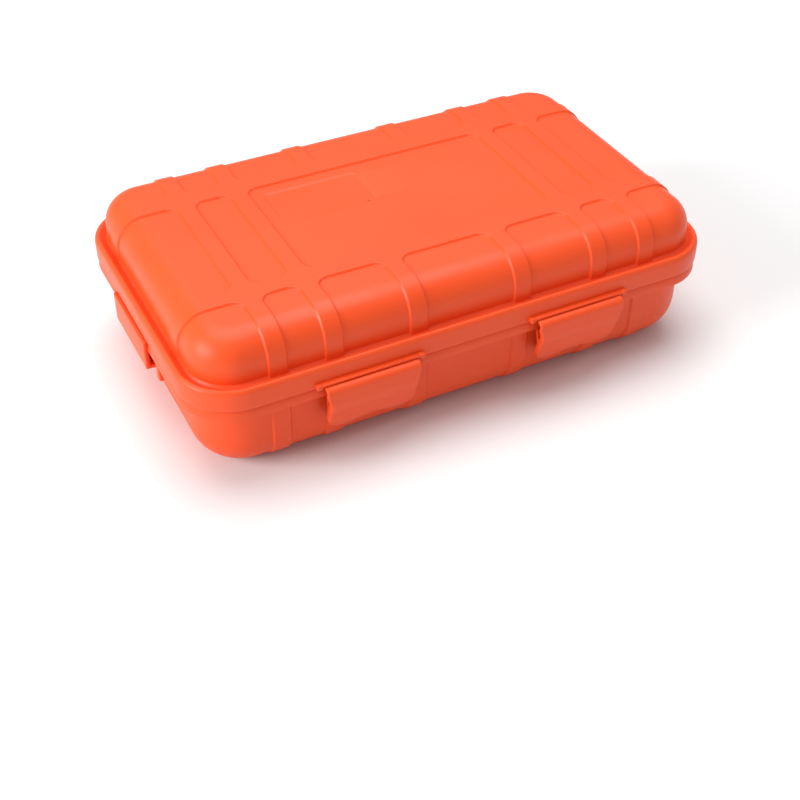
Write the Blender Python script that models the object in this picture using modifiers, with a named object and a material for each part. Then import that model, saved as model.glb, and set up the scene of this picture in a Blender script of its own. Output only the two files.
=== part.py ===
"""Pocket first aid kit: a hinged clamshell case with two front latches and its packed contents.

Metres, +Z up. +X runs along the case, the latches face -Y and the lid hinges at the back (+Y).
The origin is the middle of the flat underside of the base. The case is modelled closed.
"""
import math

import bmesh
import bpy
from mathutils import Matrix, Vector

COLLECTION = "first_aid_kit"
CUTTER_COLLECTION = "first_aid_kit_cutters"

# Overall sizes of the closed case, over the lid's rim.
CASE_LENGTH = 0.165
CASE_DEPTH = 0.0986
CASE_HEIGHT = 0.046
RIM_CORNER = 0.016

# Walls and clearances.
GAP = 0.0003
WALL = 0.0022
RIB_RELIEF = 0.0005
PIN_CLEARANCE = 0.0002

# Base.
SEAM_HEIGHT = 0.0269
LIP_HEIGHT = 0.0034
LIP_SETBACK = 0.00025
LIP_ROUND = 0.0005
BASE_INSET = 0.0031
BASE_CORNER = 0.015
BASE_FILLET = 0.012

# Lid.
RIM_HEIGHT = 0.006
RIM_OVERHANG = 0.0034
RIM_ROUND = 0.0022
RIM_UNDER_ROUND = 0.0004
DOME_FILLET = 0.009
ROOT = 0.001

# Raised ribs: half widths of the panels that lie between them.
CENTRE_PANEL_X = 0.0389
CENTRE_PANEL_Y = 0.0223
RIB_WIDTH = 0.0053
NARROW_PANEL = 0.0109
SIDE_PANEL_X = 0.0137
SIDE_RIB_START_Y = 0.0282
PANEL_CORNER = 0.003
BASE_PANEL_MARGIN = 0.0008

# Seal: a tongue on the base presses a silicone ring in the lid's channel.
TONGUE_INSET = 0.0024
TONGUE_WIDTH = 0.0012
TONGUE_HEIGHT = 0.0014
CHANNEL_SIDE_CLEARANCE = 0.0006
GASKET_HEIGHT = 0.0017

# Rear hinges.
HINGE_OFFSET_X = 0.042
HINGE_PIN_DIAMETER = 0.0015
KNUCKLE_WALL = 0.00065
LID_KNUCKLE = 0.009
BASE_KNUCKLE = 0.006

# Front latches.
LATCH_OFFSET_X = 0.0329
LATCH_WIDTH = 0.0325
LATCH_AXIS_DROP = 0.0007
LATCH_STANDOFF = 0.0004
LATCH_PIN_DIAMETER = 0.0014
BARREL_WALL = 0.0006
EAR_WIDTH = 0.0019
EAR_SETBACK = 0.00015
LEDGE_THICKNESS = 0.0008
LEDGE_REACH = 0.0016
LATCH_WALL = 0.0017
LATCH_DROP = 0.0139
LATCH_BULGE = 0.0002
LATCH_CURL = 0.0025
LATCH_TAB_INSET = 0.0016
LATCH_NOTCH = 0.0018
CATCH_REACH = 0.00065
CATCH_THICKNESS = 0.0012

# Lanyard lug on the left end.
LUG_LENGTH = 0.035
LUG_FLARE = 0.0035
LUG_PROUD = 0.0009
LUG_DROP = 0.0099
LUG_WALL = 0.0015
LUG_ROUND = 0.0008

# Packed contents.
PACKET_STEP = 0.0008
TRIANGULAR_BANDAGE_THICKNESS = 0.008
BLANKET_THICKNESS = 0.008
GLOVES_THICKNESS = 0.004
LEAFLET_THICKNESS = 0.0009
SACHET_COUNT = 4
SACHET_THICKNESS = 0.0014
GAUZE_DEPTH = 0.052
PLASTER_COUNT = 4
PLASTER_THICKNESS = 0.0008
PLASTER_WIDTH = 0.019
LARGE_ROLL_DIAMETER = 0.028
SMALL_ROLL_DIAMETER = 0.0235
TAPE_DIAMETER = 0.030
TAPE_WIDTH = 0.0125
TAPE_CORE_DIAMETER = 0.020
TAPE_CORE_WALL = 0.0015
WIPE_HEIGHT = 0.0235
DRESSING_WIDTH = 0.0165
DRESSING_HEIGHT = 0.013
AMPOULE_DIAMETER = 0.010
AMPOULE_HEIGHT = 0.021
TWEEZER_WIDTH = 0.009
TWEEZER_THICKNESS = 0.0008
TWEEZER_SPREAD = 0.0062

CORNER_SEGMENTS = 8
FILLET_SEGMENTS = 5

HALF_X = CASE_LENGTH / 2
HALF_Y = CASE_DEPTH / 2
LIP_BOTTOM = SEAM_HEIGHT - LIP_HEIGHT
LID_BOTTOM = SEAM_HEIGHT + GAP
RIM_TOP = LID_BOTTOM + RIM_HEIGHT

KNUCKLE_RADIUS = HINGE_PIN_DIAMETER / 2 + PIN_CLEARANCE + KNUCKLE_WALL
HINGE_Y = HALF_Y + KNUCKLE_RADIUS + GAP
HINGE_Z = SEAM_HEIGHT + GAP / 2

BARREL_RADIUS = LATCH_PIN_DIAMETER / 2 + PIN_CLEARANCE + BARREL_WALL
LATCH_Y = -(HALF_Y + BARREL_RADIUS + LATCH_STANDOFF)
LATCH_Z = SEAM_HEIGHT - LATCH_AXIS_DROP
LEDGE_BOTTOM = LATCH_Z + BARREL_RADIUS + GAP
BARREL_LENGTH = LATCH_WIDTH - 2 * (EAR_WIDTH + GAP)

INNER_X = HALF_X - BASE_INSET - WALL
INNER_Y = HALF_Y - BASE_INSET - WALL
TRAY_X = INNER_X - (BASE_FILLET - WALL)
TRAY_Y = INNER_Y - (BASE_FILLET - WALL)
FLOOR = WALL + GAP


def clear_scene():
    for old in list(bpy.data.objects):
        bpy.data.objects.remove(old, do_unlink=True)


def new_collection(name):
    old = bpy.data.collections.get(name)
    if old is not None:
        bpy.data.collections.remove(old)
    made = bpy.data.collections.new(name)
    bpy.context.scene.collection.children.link(made)
    return made


def material(name, color, roughness, metallic=0.0):
    made = bpy.data.materials.new(name)
    made.use_nodes = True
    shader = made.node_tree.nodes["Principled BSDF"]
    shader.inputs["Base Color"].default_value = (*color, 1.0)
    shader.inputs["Roughness"].default_value = roughness
    shader.inputs["Metallic"].default_value = metallic
    made.diffuse_color = (*color, 1.0)
    return made


def add_object(name, mesh, collection=None):
    made = bpy.data.objects.new(name, mesh)
    (collection or PARTS).objects.link(made)
    return made


def as_part(part, color, roughness, metallic=0.0):
    part.data.materials.clear()
    part.data.materials.append(material(part.name, color, roughness, metallic))
    return part


def as_cutter(tool):
    for owner in list(tool.users_collection):
        owner.objects.unlink(tool)
    CUTTERS.objects.link(tool)
    tool.hide_render = True
    tool.display_type = "WIRE"
    return tool


def boolean(target, tool, operation):
    as_cutter(tool)
    step = target.modifiers.new(f"{operation.lower()}_{tool.name}", "BOOLEAN")
    step.operation = operation
    step.solver = "EXACT"
    step.object = tool


def mesh_from(builder, name):
    work = bmesh.new()
    builder(work)
    bmesh.ops.recalc_face_normals(work, faces=work.faces)
    mesh = bpy.data.meshes.new(name)
    work.to_mesh(mesh)
    work.free()
    return mesh


def add_box(work, low, high):
    """Adds a box to a bmesh and returns its vertices."""
    low, high = Vector(low), Vector(high)
    size = high - low
    place = Matrix.Translation((low + high) / 2) @ Matrix.Diagonal((*size, 1.0))
    return bmesh.ops.create_cube(work, size=1.0, matrix=place)["verts"]


def round_edges(work, edges, offset, segments):
    bmesh.ops.bevel(
        work, geom=edges, offset=offset, offset_type="OFFSET", affect="EDGES",
        segments=segments, profile=0.5, clamp_overlap=False, material=-1)


def upright_edges(work):
    return [e for e in work.edges if abs(e.verts[0].co.z - e.verts[1].co.z) > GAP]


def edges_at(work, height):
    return [e for e in work.edges if all(abs(v.co.z - height) < 1e-6 for v in e.verts)]


def slab(name, half_x, half_y, low, high, corner, top_round=0.0, bottom_round=0.0,
         segments=FILLET_SEGMENTS):
    """A block with round upright corners and, where asked, round top and bottom edges."""
    def build(work):
        add_box(work, (-half_x, -half_y, low), (half_x, half_y, high))
        round_edges(work, upright_edges(work), corner, CORNER_SEGMENTS)
        if top_round:
            round_edges(work, edges_at(work, high), top_round, segments)
        if bottom_round:
            round_edges(work, edges_at(work, low), bottom_round, segments)
    return add_object(name, mesh_from(build, name))


def wall_ring(name, half_x, half_y, corner, low, high, width):
    """A closed wall that follows a rounded rectangle, width thick towards the inside."""
    def build(work):
        add_box(work, (-half_x, -half_y, low), (half_x, half_y, high))
        round_edges(work, upright_edges(work), corner, CORNER_SEGMENTS)
        caps = [f for f in work.faces if abs(f.normal.z) > 0.5]
        bmesh.ops.delete(work, geom=caps, context="FACES_ONLY")
    ring = add_object(name, mesh_from(build, name))
    skin = ring.modifiers.new("wall", "SOLIDIFY")
    skin.thickness = width
    skin.offset = -1.0
    skin.use_even_offset = True
    return ring


def packet(name, low, high, edge, segments=2):
    """A soft flat packet: a box with all its edges rounded."""
    def build(work):
        add_box(work, low, high)
        round_edges(work, list(work.edges), edge, segments)
    return add_object(name, mesh_from(build, name))


def extruded_outline(name, outline, start, end, across):
    """A flat outline, given as pairs, pushed along X (across='X': pairs are Y, Z) or Y (X, Z)."""
    data = bpy.data.curves.new(name, "CURVE")
    data.dimensions = "2D"
    data.fill_mode = "BOTH"
    data.extrude = (end - start) / 2
    spline = data.splines.new("POLY")
    spline.points.add(len(outline) - 1)
    for point, (first, second) in zip(spline.points, outline):
        point.co = (first, second, 0.0, 1.0)
    spline.use_cyclic_u = True
    curve = bpy.data.objects.new(name + "_outline", data)
    PARTS.objects.link(curve)
    middle = (start + end) / 2
    if across == "X":
        turn = Matrix(((0, 0, 1, middle), (1, 0, 0, 0), (0, 1, 0, 0), (0, 0, 0, 1)))
    else:
        turn = Matrix(((1, 0, 0, 0), (0, 0, -1, middle), (0, 1, 0, 0), (0, 0, 0, 1)))
    curve.matrix_world = turn
    bpy.context.view_layer.update()
    evaluated = curve.evaluated_get(bpy.context.evaluated_depsgraph_get())
    mesh = bpy.data.meshes.new_from_object(evaluated)
    work = bmesh.new()
    work.from_mesh(mesh)
    bmesh.ops.remove_doubles(work, verts=work.verts, dist=1e-7)
    bmesh.ops.recalc_face_normals(work, faces=work.faces)
    work.to_mesh(mesh)
    work.free()
    made = add_object(name, mesh)
    made.matrix_world = curve.matrix_world
    bpy.data.objects.remove(curve, do_unlink=True)
    return made


def arc(centre, radius, first, last, count):
    """Points on an arc, angles in degrees."""
    angles = [math.radians(first + (last - first) * i / count) for i in range(count + 1)]
    return [(centre[0] + radius * math.cos(a), centre[1] + radius * math.sin(a)) for a in angles]


def rod(name, radius, start, end, y, z, segments=16):
    """A round rod along X."""
    length = end - start
    turn = Matrix.Translation(((start + end) / 2, y, z)) @ Matrix.Rotation(math.pi / 2, 4, "Y")

    def build(work):
        bmesh.ops.create_cone(
            work, cap_ends=True, segments=segments, radius1=radius, radius2=radius,
            depth=length, matrix=turn)
    return add_object(name, mesh_from(build, name))


def joined(name, pieces):
    """One object from several whose solids lie apart."""
    work = bmesh.new()
    for piece in pieces:
        copy = piece.data.copy()
        copy.transform(piece.matrix_world)
        work.from_mesh(copy)
        bpy.data.objects.remove(piece, do_unlink=True)
    mesh = bpy.data.meshes.new(name)
    work.to_mesh(mesh)
    work.free()
    return add_object(name, mesh)


def side_panel_spans():
    """X spans of the panels between the ribs that run down the front and back walls."""
    inner = SIDE_PANEL_X
    outer = SIDE_PANEL_X + RIB_WIDTH
    narrow = CENTRE_PANEL_X + RIB_WIDTH
    far = narrow + NARROW_PANEL
    spans = [(-inner, inner), (outer, CENTRE_PANEL_X), (narrow, far)]
    return spans + [(-high, -low) for low, high in spans[1:]]


def prism(name, low_x, high_x, low_y, high_y, low_z, high_z):
    def build(work):
        add_box(work, (low_x, low_y, low_z), (high_x, high_y, high_z))
        round_edges(work, upright_edges(work), PANEL_CORNER, 3)
    return add_object(name, mesh_from(build, name))


def wall_panels(name, low_z, high_z, start_x, start_y):
    """Prisms outside the ribs on the four walls and the four corners."""
    beyond_x = HALF_X + WALL + PANEL_CORNER
    beyond_y = HALF_Y + WALL + PANEL_CORNER
    corner_x = CENTRE_PANEL_X + 2 * RIB_WIDTH + NARROW_PANEL
    prisms = []
    for side in (-1, 1):
        low_y, high_y = sorted((side * start_y, side * beyond_y))
        for low_x, high_x in side_panel_spans():
            prisms.append(prism(name, low_x, high_x, low_y, high_y, low_z, high_z))
        for end in (-1, 1):
            low_x, high_x = sorted((end * corner_x, end * beyond_x))
            prisms.append(prism(name, low_x, high_x, low_y, high_y, low_z, high_z))
    for end in (-1, 1):
        low_x, high_x = sorted((end * start_x, end * beyond_x))
        prisms.append(prism(name, low_x, high_x, -CENTRE_PANEL_Y, CENTRE_PANEL_Y, low_z, high_z))
    return prisms


def hinge_knuckle(name, start, end, toward_lid):
    """One knuckle of a rear hinge with the root that joins it to the lid or to the base."""
    side = 1 if toward_lid else -1
    root_y = HALF_Y - ROOT
    far = HINGE_Z + side * KNUCKLE_RADIUS * 0.9
    near = HINGE_Z + side * GAP
    turn = arc((HINGE_Y, HINGE_Z), KNUCKLE_RADIUS, 90 * side, 90 * side - 270 * side, 12)
    outline = [(root_y, far)] + turn + [(HINGE_Y - KNUCKLE_RADIUS, near), (root_y, near)]
    return extruded_outline(name, outline, start, end, "X")


def hinge_sections(offset):
    """Start and end along X of a hinge's first base, lid and second base knuckle."""
    half = LID_KNUCKLE / 2
    outer = half + GAP + BASE_KNUCKLE
    return (offset - outer, offset - half - GAP), (offset - half, offset + half), \
        (offset + half + GAP, offset + outer)


def base_shell():
    body_x = HALF_X - BASE_INSET
    body_y = HALF_Y - BASE_INSET
    base = slab("base_shell", body_x, body_y, 0.0, SEAM_HEIGHT - ROOT, BASE_CORNER,
                bottom_round=BASE_FILLET)
    panel_edge = BASE_FILLET - BASE_PANEL_MARGIN
    panels = wall_panels("base_panel", -ROOT, SEAM_HEIGHT, body_x - panel_edge, body_y - panel_edge)
    boolean(base, joined("base_panels", panels), "DIFFERENCE")
    core = slab("base_core", body_x - RIB_RELIEF, body_y - RIB_RELIEF, RIB_RELIEF,
                SEAM_HEIGHT - 1.2 * ROOT, BASE_CORNER - RIB_RELIEF,
                bottom_round=BASE_FILLET - RIB_RELIEF)
    boolean(base, core, "UNION")
    lip = slab("base_lip", HALF_X - LIP_SETBACK, HALF_Y - LIP_SETBACK, LIP_BOTTOM, SEAM_HEIGHT,
               RIM_CORNER - LIP_SETBACK, LIP_ROUND, LIP_ROUND, segments=2)
    boolean(base, lip, "UNION")
    boolean(base, lanyard_lug(), "UNION")
    knuckles = []
    for side in (-1, 1):
        first, _, last = hinge_sections(side * HINGE_OFFSET_X)
        for start, end in (first, last):
            knuckles.append(hinge_knuckle("base_knuckle", start, end, toward_lid=False))
    boolean(base, joined("base_knuckles", knuckles), "UNION")
    cavity = slab("base_cavity", INNER_X, INNER_Y, WALL, CASE_HEIGHT, BASE_CORNER - WALL,
                  bottom_round=BASE_FILLET - WALL)
    boolean(base, cavity, "DIFFERENCE")
    tongue = wall_ring("base_tongue", HALF_X - TONGUE_INSET, HALF_Y - TONGUE_INSET,
                       RIM_CORNER - TONGUE_INSET, SEAM_HEIGHT - ROOT, SEAM_HEIGHT + TONGUE_HEIGHT,
                       TONGUE_WIDTH)
    boolean(base, tongue, "UNION")
    boolean(base, hinge_bores("base_hinge_bores"), "DIFFERENCE")
    boolean(base, lug_tunnel(), "DIFFERENCE")
    return as_part(base, SHELL_COLOR, 0.5)


def lanyard_lug():
    outer = -(HALF_X + LUG_PROUD)
    inner = -(HALF_X - BASE_INSET - WALL / 2)

    def build(work):
        add_box(work, (outer, -LUG_LENGTH / 2, SEAM_HEIGHT - LUG_DROP),
                (inner, LUG_LENGTH / 2, SEAM_HEIGHT - LIP_ROUND))
        for vertex in work.verts:
            if vertex.co.x > (outer + inner) / 2:
                vertex.co.y += math.copysign(LUG_FLARE, vertex.co.y)
        outside = [e for e in work.edges if all(v.co.x < outer + GAP for v in e.verts)]
        round_edges(work, outside, LUG_ROUND, 3)
    return add_object("lanyard_lug", mesh_from(build, "lanyard_lug"))


def lug_tunnel():
    low_x = -(HALF_X + LUG_PROUD - LUG_WALL)
    high_x = -(HALF_X - BASE_INSET + GAP)
    reach = LUG_LENGTH / 2 + LUG_FLARE + WALL

    def build(work):
        add_box(work, (low_x, -reach, SEAM_HEIGHT - LUG_DROP + LUG_WALL),
                (high_x, reach, LIP_BOTTOM - GAP))
        along = [e for e in work.edges if abs(e.verts[0].co.y - e.verts[1].co.y) > reach]
        round_edges(work, along, LUG_ROUND, 3)
    return add_object("lug_tunnel", mesh_from(build, "lug_tunnel"))


def hinge_bores(name):
    reach = LID_KNUCKLE / 2 + BASE_KNUCKLE + WALL
    radius = HINGE_PIN_DIAMETER / 2 + PIN_CLEARANCE
    return joined(name, [
        rod(name, radius, side * HINGE_OFFSET_X - reach, side * HINGE_OFFSET_X + reach,
            HINGE_Y, HINGE_Z)
        for side in (-1, 1)])


def latch_ears(name):
    """The two ears and the ledge over them that carry each latch on the lid's rim."""
    root_y = -HALF_Y + ROOT
    ledge_y = -HALF_Y - LEDGE_REACH
    ledge_top = LEDGE_BOTTOM + LEDGE_THICKNESS
    ear_radius = BARREL_RADIUS - EAR_SETBACK
    ear = [(root_y, ledge_top), (ledge_y, ledge_top)]
    ear += arc((LATCH_Y, LATCH_Z), ear_radius, 100, 360, 12)
    ear += [(LATCH_Y + ear_radius, LID_BOTTOM + GAP / 2), (root_y, LID_BOTTOM + GAP / 2)]
    ears = []
    ledges = []
    for side in (-1, 1):
        low = side * LATCH_OFFSET_X - LATCH_WIDTH / 2
        high = side * LATCH_OFFSET_X + LATCH_WIDTH / 2
        ears.append(extruded_outline(name, ear, low, low + EAR_WIDTH, "X"))
        ears.append(extruded_outline(name, ear, high - EAR_WIDTH, high, "X"))
        overlap = EAR_WIDTH / 2

        def build(work, low=low + overlap, high=high - overlap):
            add_box(work, (low, ledge_y + EAR_SETBACK, LEDGE_BOTTOM),
                    (high, root_y, ledge_top - EAR_SETBACK))
        ledges.append(add_object(name, mesh_from(build, name)))
    return joined(name, ears), joined(name + "_ledges", ledges)


def latch_bores(name):
    radius = LATCH_PIN_DIAMETER / 2 + PIN_CLEARANCE
    reach = LATCH_WIDTH / 2 + WALL
    return joined(name, [
        rod(name, radius, side * LATCH_OFFSET_X - reach, side * LATCH_OFFSET_X + reach,
            LATCH_Y, LATCH_Z)
        for side in (-1, 1)])


def lid_shell():
    dome_x = HALF_X - RIM_OVERHANG
    dome_y = HALF_Y - RIM_OVERHANG
    dome_corner = RIM_CORNER - RIM_OVERHANG
    lid = slab("lid_shell", dome_x, dome_y, LID_BOTTOM + ROOT, CASE_HEIGHT, dome_corner,
               top_round=DOME_FILLET)
    above = CASE_HEIGHT + ROOT
    corner_x = CENTRE_PANEL_X + 2 * RIB_WIDTH + NARROW_PANEL
    panels = wall_panels("lid_panel", LID_BOTTOM, above, corner_x, SIDE_RIB_START_Y)
    panels.append(prism("lid_panel", -CENTRE_PANEL_X, CENTRE_PANEL_X, -CENTRE_PANEL_Y,
                        CENTRE_PANEL_Y, LID_BOTTOM, above))
    narrow = CENTRE_PANEL_X + RIB_WIDTH
    for side in (-1, 1):
        low_x, high_x = sorted((side * narrow, side * (narrow + NARROW_PANEL)))
        panels.append(prism("lid_panel", low_x, high_x, -CENTRE_PANEL_Y, CENTRE_PANEL_Y,
                            LID_BOTTOM, above))
    boolean(lid, joined("lid_panels", panels), "DIFFERENCE")
    core = slab("lid_core", dome_x - RIB_RELIEF, dome_y - RIB_RELIEF, LID_BOTTOM + 1.2 * ROOT,
                CASE_HEIGHT - RIB_RELIEF, dome_corner - RIB_RELIEF,
                top_round=DOME_FILLET - RIB_RELIEF)
    boolean(lid, core, "UNION")
    rim = slab("lid_rim", HALF_X, HALF_Y, LID_BOTTOM, RIM_TOP, RIM_CORNER, RIM_ROUND,
               RIM_UNDER_ROUND, segments=3)
    boolean(lid, rim, "UNION")
    ears, ledges = latch_ears("latch_ears")
    boolean(lid, ears, "UNION")
    boolean(lid, ledges, "UNION")
    knuckles = []
    for side in (-1, 1):
        _, (start, end), _ = hinge_sections(side * HINGE_OFFSET_X)
        knuckles.append(hinge_knuckle("lid_knuckle", start, end, toward_lid=True))
    boolean(lid, joined("lid_knuckles", knuckles), "UNION")
    cavity = slab("lid_cavity", dome_x - WALL, dome_y - WALL, WALL, CASE_HEIGHT - WALL,
                  dome_corner - WALL, top_round=DOME_FILLET - WALL)
    boolean(lid, cavity, "DIFFERENCE")
    side = TONGUE_INSET - CHANNEL_SIDE_CLEARANCE
    channel_top = SEAM_HEIGHT + TONGUE_HEIGHT + GAP + GASKET_HEIGHT + GAP
    channel = wall_ring("seal_channel", HALF_X - side, HALF_Y - side, RIM_CORNER - side,
                        SEAM_HEIGHT - ROOT, channel_top, TONGUE_WIDTH + 2 * CHANNEL_SIDE_CLEARANCE)
    boolean(lid, channel, "DIFFERENCE")
    boolean(lid, hinge_bores("lid_hinge_bores"), "DIFFERENCE")
    boolean(lid, latch_bores("lid_latch_bores"), "DIFFERENCE")
    return as_part(lid, SHELL_COLOR, 0.5)


def gasket():
    side = TONGUE_INSET - CHANNEL_SIDE_CLEARANCE + GAP
    low = SEAM_HEIGHT + TONGUE_HEIGHT + GAP
    width = TONGUE_WIDTH + 2 * (CHANNEL_SIDE_CLEARANCE - GAP)
    ring = wall_ring("lid_gasket", HALF_X - side, HALF_Y - side, RIM_CORNER - side, low,
                     low + GASKET_HEIGHT, width)
    return as_part(ring, (0.85, 0.85, 0.82), 0.6)


def latch_side_outline():
    """The latch seen from its end: a barrel, a wall that curls in under the lip, and a catch."""
    def at(out, up):
        return (LATCH_Y - out, LATCH_Z + up)
    lip_face = -LATCH_Y - (HALF_Y - LIP_SETBACK)
    catch_top = LIP_BOTTOM - GAP - LATCH_Z
    catch_out = -(lip_face + CATCH_REACH)
    bulge = BARREL_RADIUS + LATCH_BULGE
    inner = bulge - LATCH_WALL
    outline = [at(out, up) for out, up in arc((0, 0), BARREL_RADIUS, 260, 0, 12)]
    outline += [
        at(bulge, -0.20 * LATCH_DROP),
        at(bulge - 0.02 * LATCH_CURL, -0.30 * LATCH_DROP),
        at(bulge - 0.14 * LATCH_CURL, -0.40 * LATCH_DROP),
        at(bulge - 0.38 * LATCH_CURL, -0.55 * LATCH_DROP),
        at(bulge - 0.70 * LATCH_CURL, -0.74 * LATCH_DROP),
        at(bulge - 0.92 * LATCH_CURL, -0.90 * LATCH_DROP),
        at(bulge - LATCH_CURL, -LATCH_DROP),
        at(inner - LATCH_CURL + GAP, -LATCH_DROP),
        at(inner - 0.92 * LATCH_CURL, -0.88 * LATCH_DROP),
        at(inner - 0.68 * LATCH_CURL, -0.72 * LATCH_DROP),
        at(inner - 0.34 * LATCH_CURL, -0.54 * LATCH_DROP),
        at(inner - 0.12 * LATCH_CURL, -0.40 * LATCH_DROP),
        at(inner, catch_top - CATCH_THICKNESS),
        at(catch_out + GAP, catch_top - CATCH_THICKNESS),
        at(catch_out, catch_top - CATCH_THICKNESS / 2),
        at(catch_out + GAP, catch_top),
        at(inner, catch_top)]
    return outline


def latch_front_outline(centre):
    """The latch seen from the front: flared shoulders and a wavy finger edge."""
    top = LATCH_Z + BARREL_RADIUS + ROOT
    wide = BARREL_LENGTH / 2
    tab = wide - LATCH_TAB_INSET
    foot = LATCH_Z - LATCH_DROP
    half = [
        (wide, top), (wide, LATCH_Z - 0.06 * LATCH_DROP),
        (wide - 0.15 * LATCH_TAB_INSET, LATCH_Z - 0.14 * LATCH_DROP),
        (wide - 0.80 * LATCH_TAB_INSET, LATCH_Z - 0.24 * LATCH_DROP),
        (tab, LATCH_Z - 0.34 * LATCH_DROP), (tab, LATCH_Z - 0.62 * LATCH_DROP),
        (tab - 0.03 * wide, LATCH_Z - 0.78 * LATCH_DROP),
        (tab - 0.10 * wide, LATCH_Z - 0.91 * LATCH_DROP),
        (tab - 0.22 * wide, foot + GAP), (tab - 0.36 * wide, foot + GAP),
        (tab - 0.52 * wide, foot + 0.45 * LATCH_NOTCH),
        (tab - 0.68 * wide, foot + 0.9 * LATCH_NOTCH), (0.0, foot + LATCH_NOTCH)]
    left = [(-x, z) for x, z in reversed(half[:-1])]
    return [(centre + x, z) for x, z in half + left]


def latch(name, side):
    centre = side * LATCH_OFFSET_X
    half = BARREL_LENGTH / 2
    part = extruded_outline(name, latch_side_outline(), centre - half, centre + half, "X")
    front = extruded_outline(name + "_front", latch_front_outline(centre),
                             LATCH_Y - 4 * BARREL_RADIUS, LATCH_Y + 4 * BARREL_RADIUS, "Y")
    boolean(part, front, "INTERSECT")
    boolean(part, latch_bores(name + "_bore"), "DIFFERENCE")
    return as_part(part, SHELL_COLOR, 0.5)


def pins():
    made = []
    hinge_reach = LID_KNUCKLE / 2 + GAP + BASE_KNUCKLE
    for side, hand in ((-1, "left"), (1, "right")):
        hinge_x = side * HINGE_OFFSET_X
        latch_x = side * LATCH_OFFSET_X
        hinge_pin = rod(f"hinge_pin_{hand}", HINGE_PIN_DIAMETER / 2, hinge_x - hinge_reach,
                        hinge_x + hinge_reach, HINGE_Y, HINGE_Z)
        latch_pin = rod(f"latch_pin_{hand}", LATCH_PIN_DIAMETER / 2, latch_x - LATCH_WIDTH / 2,
                        latch_x + LATCH_WIDTH / 2, LATCH_Y, LATCH_Z)
        for pin in (hinge_pin, latch_pin):
            made.append(as_part(pin, (0.72, 0.72, 0.74), 0.3, 1.0))
    return made


def turned(name, profile, segments=24, around="Z"):
    """A profile of (radius, height) pairs, from the bottom up its outer side, turned about Z."""
    mesh = bpy.data.meshes.new(name)
    points = [(radius, 0.0, height) for radius, height in reversed(profile)]
    loop = [(i, (i + 1) % len(points)) for i in range(len(points))]
    closed = all(radius > 0 for radius, _ in profile)
    mesh.from_pydata(points, loop if closed else loop[:-1], [])
    made = add_object(name, mesh)
    spin = made.modifiers.new("turn", "SCREW")
    spin.steps = segments
    spin.render_steps = segments
    spin.use_merge_vertices = True
    spin.merge_threshold = 1e-6
    if around == "Y":
        made.rotation_euler = (math.pi / 2, 0.0, 0.0)
    return made


def roll_along_y(name, diameter, start, end, x, hole=0.0):
    """A roll that lies along Y on the floor of the case."""
    radius = diameter / 2
    length = end - start
    edge = PACKET_STEP
    if hole:
        profile = [(hole / 2, 0.0), (radius, 0.0), (radius, length), (hole / 2, length)]
    else:
        profile = [(0.0, 0.0), (radius - edge, 0.0), (radius, edge), (radius, length - edge),
                   (radius - edge, length), (0.0, length)]
    made = turned(name, profile, around="Y")
    made.location = (x, end, FLOOR + radius)
    return made


def flat_stack(left, right):
    """The soft packets that lie on each other in the left of the case."""
    layers = (
        ("triangular_bandage", TRIANGULAR_BANDAGE_THICKNESS, (0.93, 0.92, 0.88), 0.7, 0.0),
        ("foil_blanket", BLANKET_THICKNESS, (0.80, 0.68, 0.35), 0.25, 1.0),
        ("glove_packet", GLOVES_THICKNESS, (0.45, 0.62, 0.80), 0.4, 0.0),
        ("first_aid_leaflet", LEAFLET_THICKNESS, (0.95, 0.95, 0.93), 0.6, 0.0))
    made = []
    height = FLOOR
    for step, (name, thickness, color, roughness, metallic) in enumerate(layers):
        inset = step * PACKET_STEP
        edge = min(0.4 * thickness, 2 * PACKET_STEP)
        piece = packet(name, (left + inset, -TRAY_Y + inset, height),
                       (right - inset, TRAY_Y - inset, height + thickness), edge)
        made.append(as_part(piece, color, roughness, metallic))
        height += thickness + GAP
    inset = len(layers) * PACKET_STEP
    low = (left + inset, -TRAY_Y + inset, height)
    high = (right - inset, -TRAY_Y + inset + GAUZE_DEPTH, height)
    made += stack("gauze_sachet", SACHET_COUNT, SACHET_THICKNESS, low, high, 2, (0.94, 0.95, 0.96))
    return made


def stack(name, count, thickness, low, high, axis, color):
    """Equal thin packets, one behind the other along an axis: 0, 1 or 2 for X, Y or Z."""
    pieces = []
    for index in range(count):
        start, end = list(low), list(high)
        start[axis] = low[axis] + index * (thickness + GAP)
        end[axis] = start[axis] + thickness
        piece = packet(f"{name}_{index + 1}", start, end, 0.4 * thickness, 1)
        pieces.append(as_part(piece, color, 0.5))
    return pieces


def plasters(left):
    low = (left, -TRAY_Y, FLOOR)
    high = (left, TRAY_Y, FLOOR + PLASTER_WIDTH)
    return stack("plaster", PLASTER_COUNT, PLASTER_THICKNESS, low, high, 0, (0.86, 0.70, 0.55))


def wipes(left, right, back):
    depth = SACHET_COUNT * (SACHET_THICKNESS + GAP)
    low = (left, back - depth, FLOOR)
    high = (right, back, FLOOR + WIPE_HEIGHT)
    return stack("wipe_sachet", SACHET_COUNT, SACHET_THICKNESS, low, high, 1, (0.55, 0.78, 0.70))


def ampoule(x, y):
    """A twist-off saline ampoule that stands on the floor."""
    radius = AMPOULE_DIAMETER / 2
    neck = 0.35 * radius
    shoulder = 0.62 * AMPOULE_HEIGHT
    profile = [(0.0, 0.0), (0.9 * radius, 0.0), (radius, 0.1 * radius), (radius, shoulder),
               (0.8 * radius, shoulder + 0.45 * radius), (neck, shoulder + 0.75 * radius),
               (neck, shoulder + radius), (0.6 * radius, shoulder + 1.15 * radius),
               (0.6 * radius, AMPOULE_HEIGHT), (0.0, AMPOULE_HEIGHT)]
    made = turned("saline_ampoule", profile)
    made.location = (x, y, FLOOR)
    return as_part(made, (0.80, 0.88, 0.92), 0.25)


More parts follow.
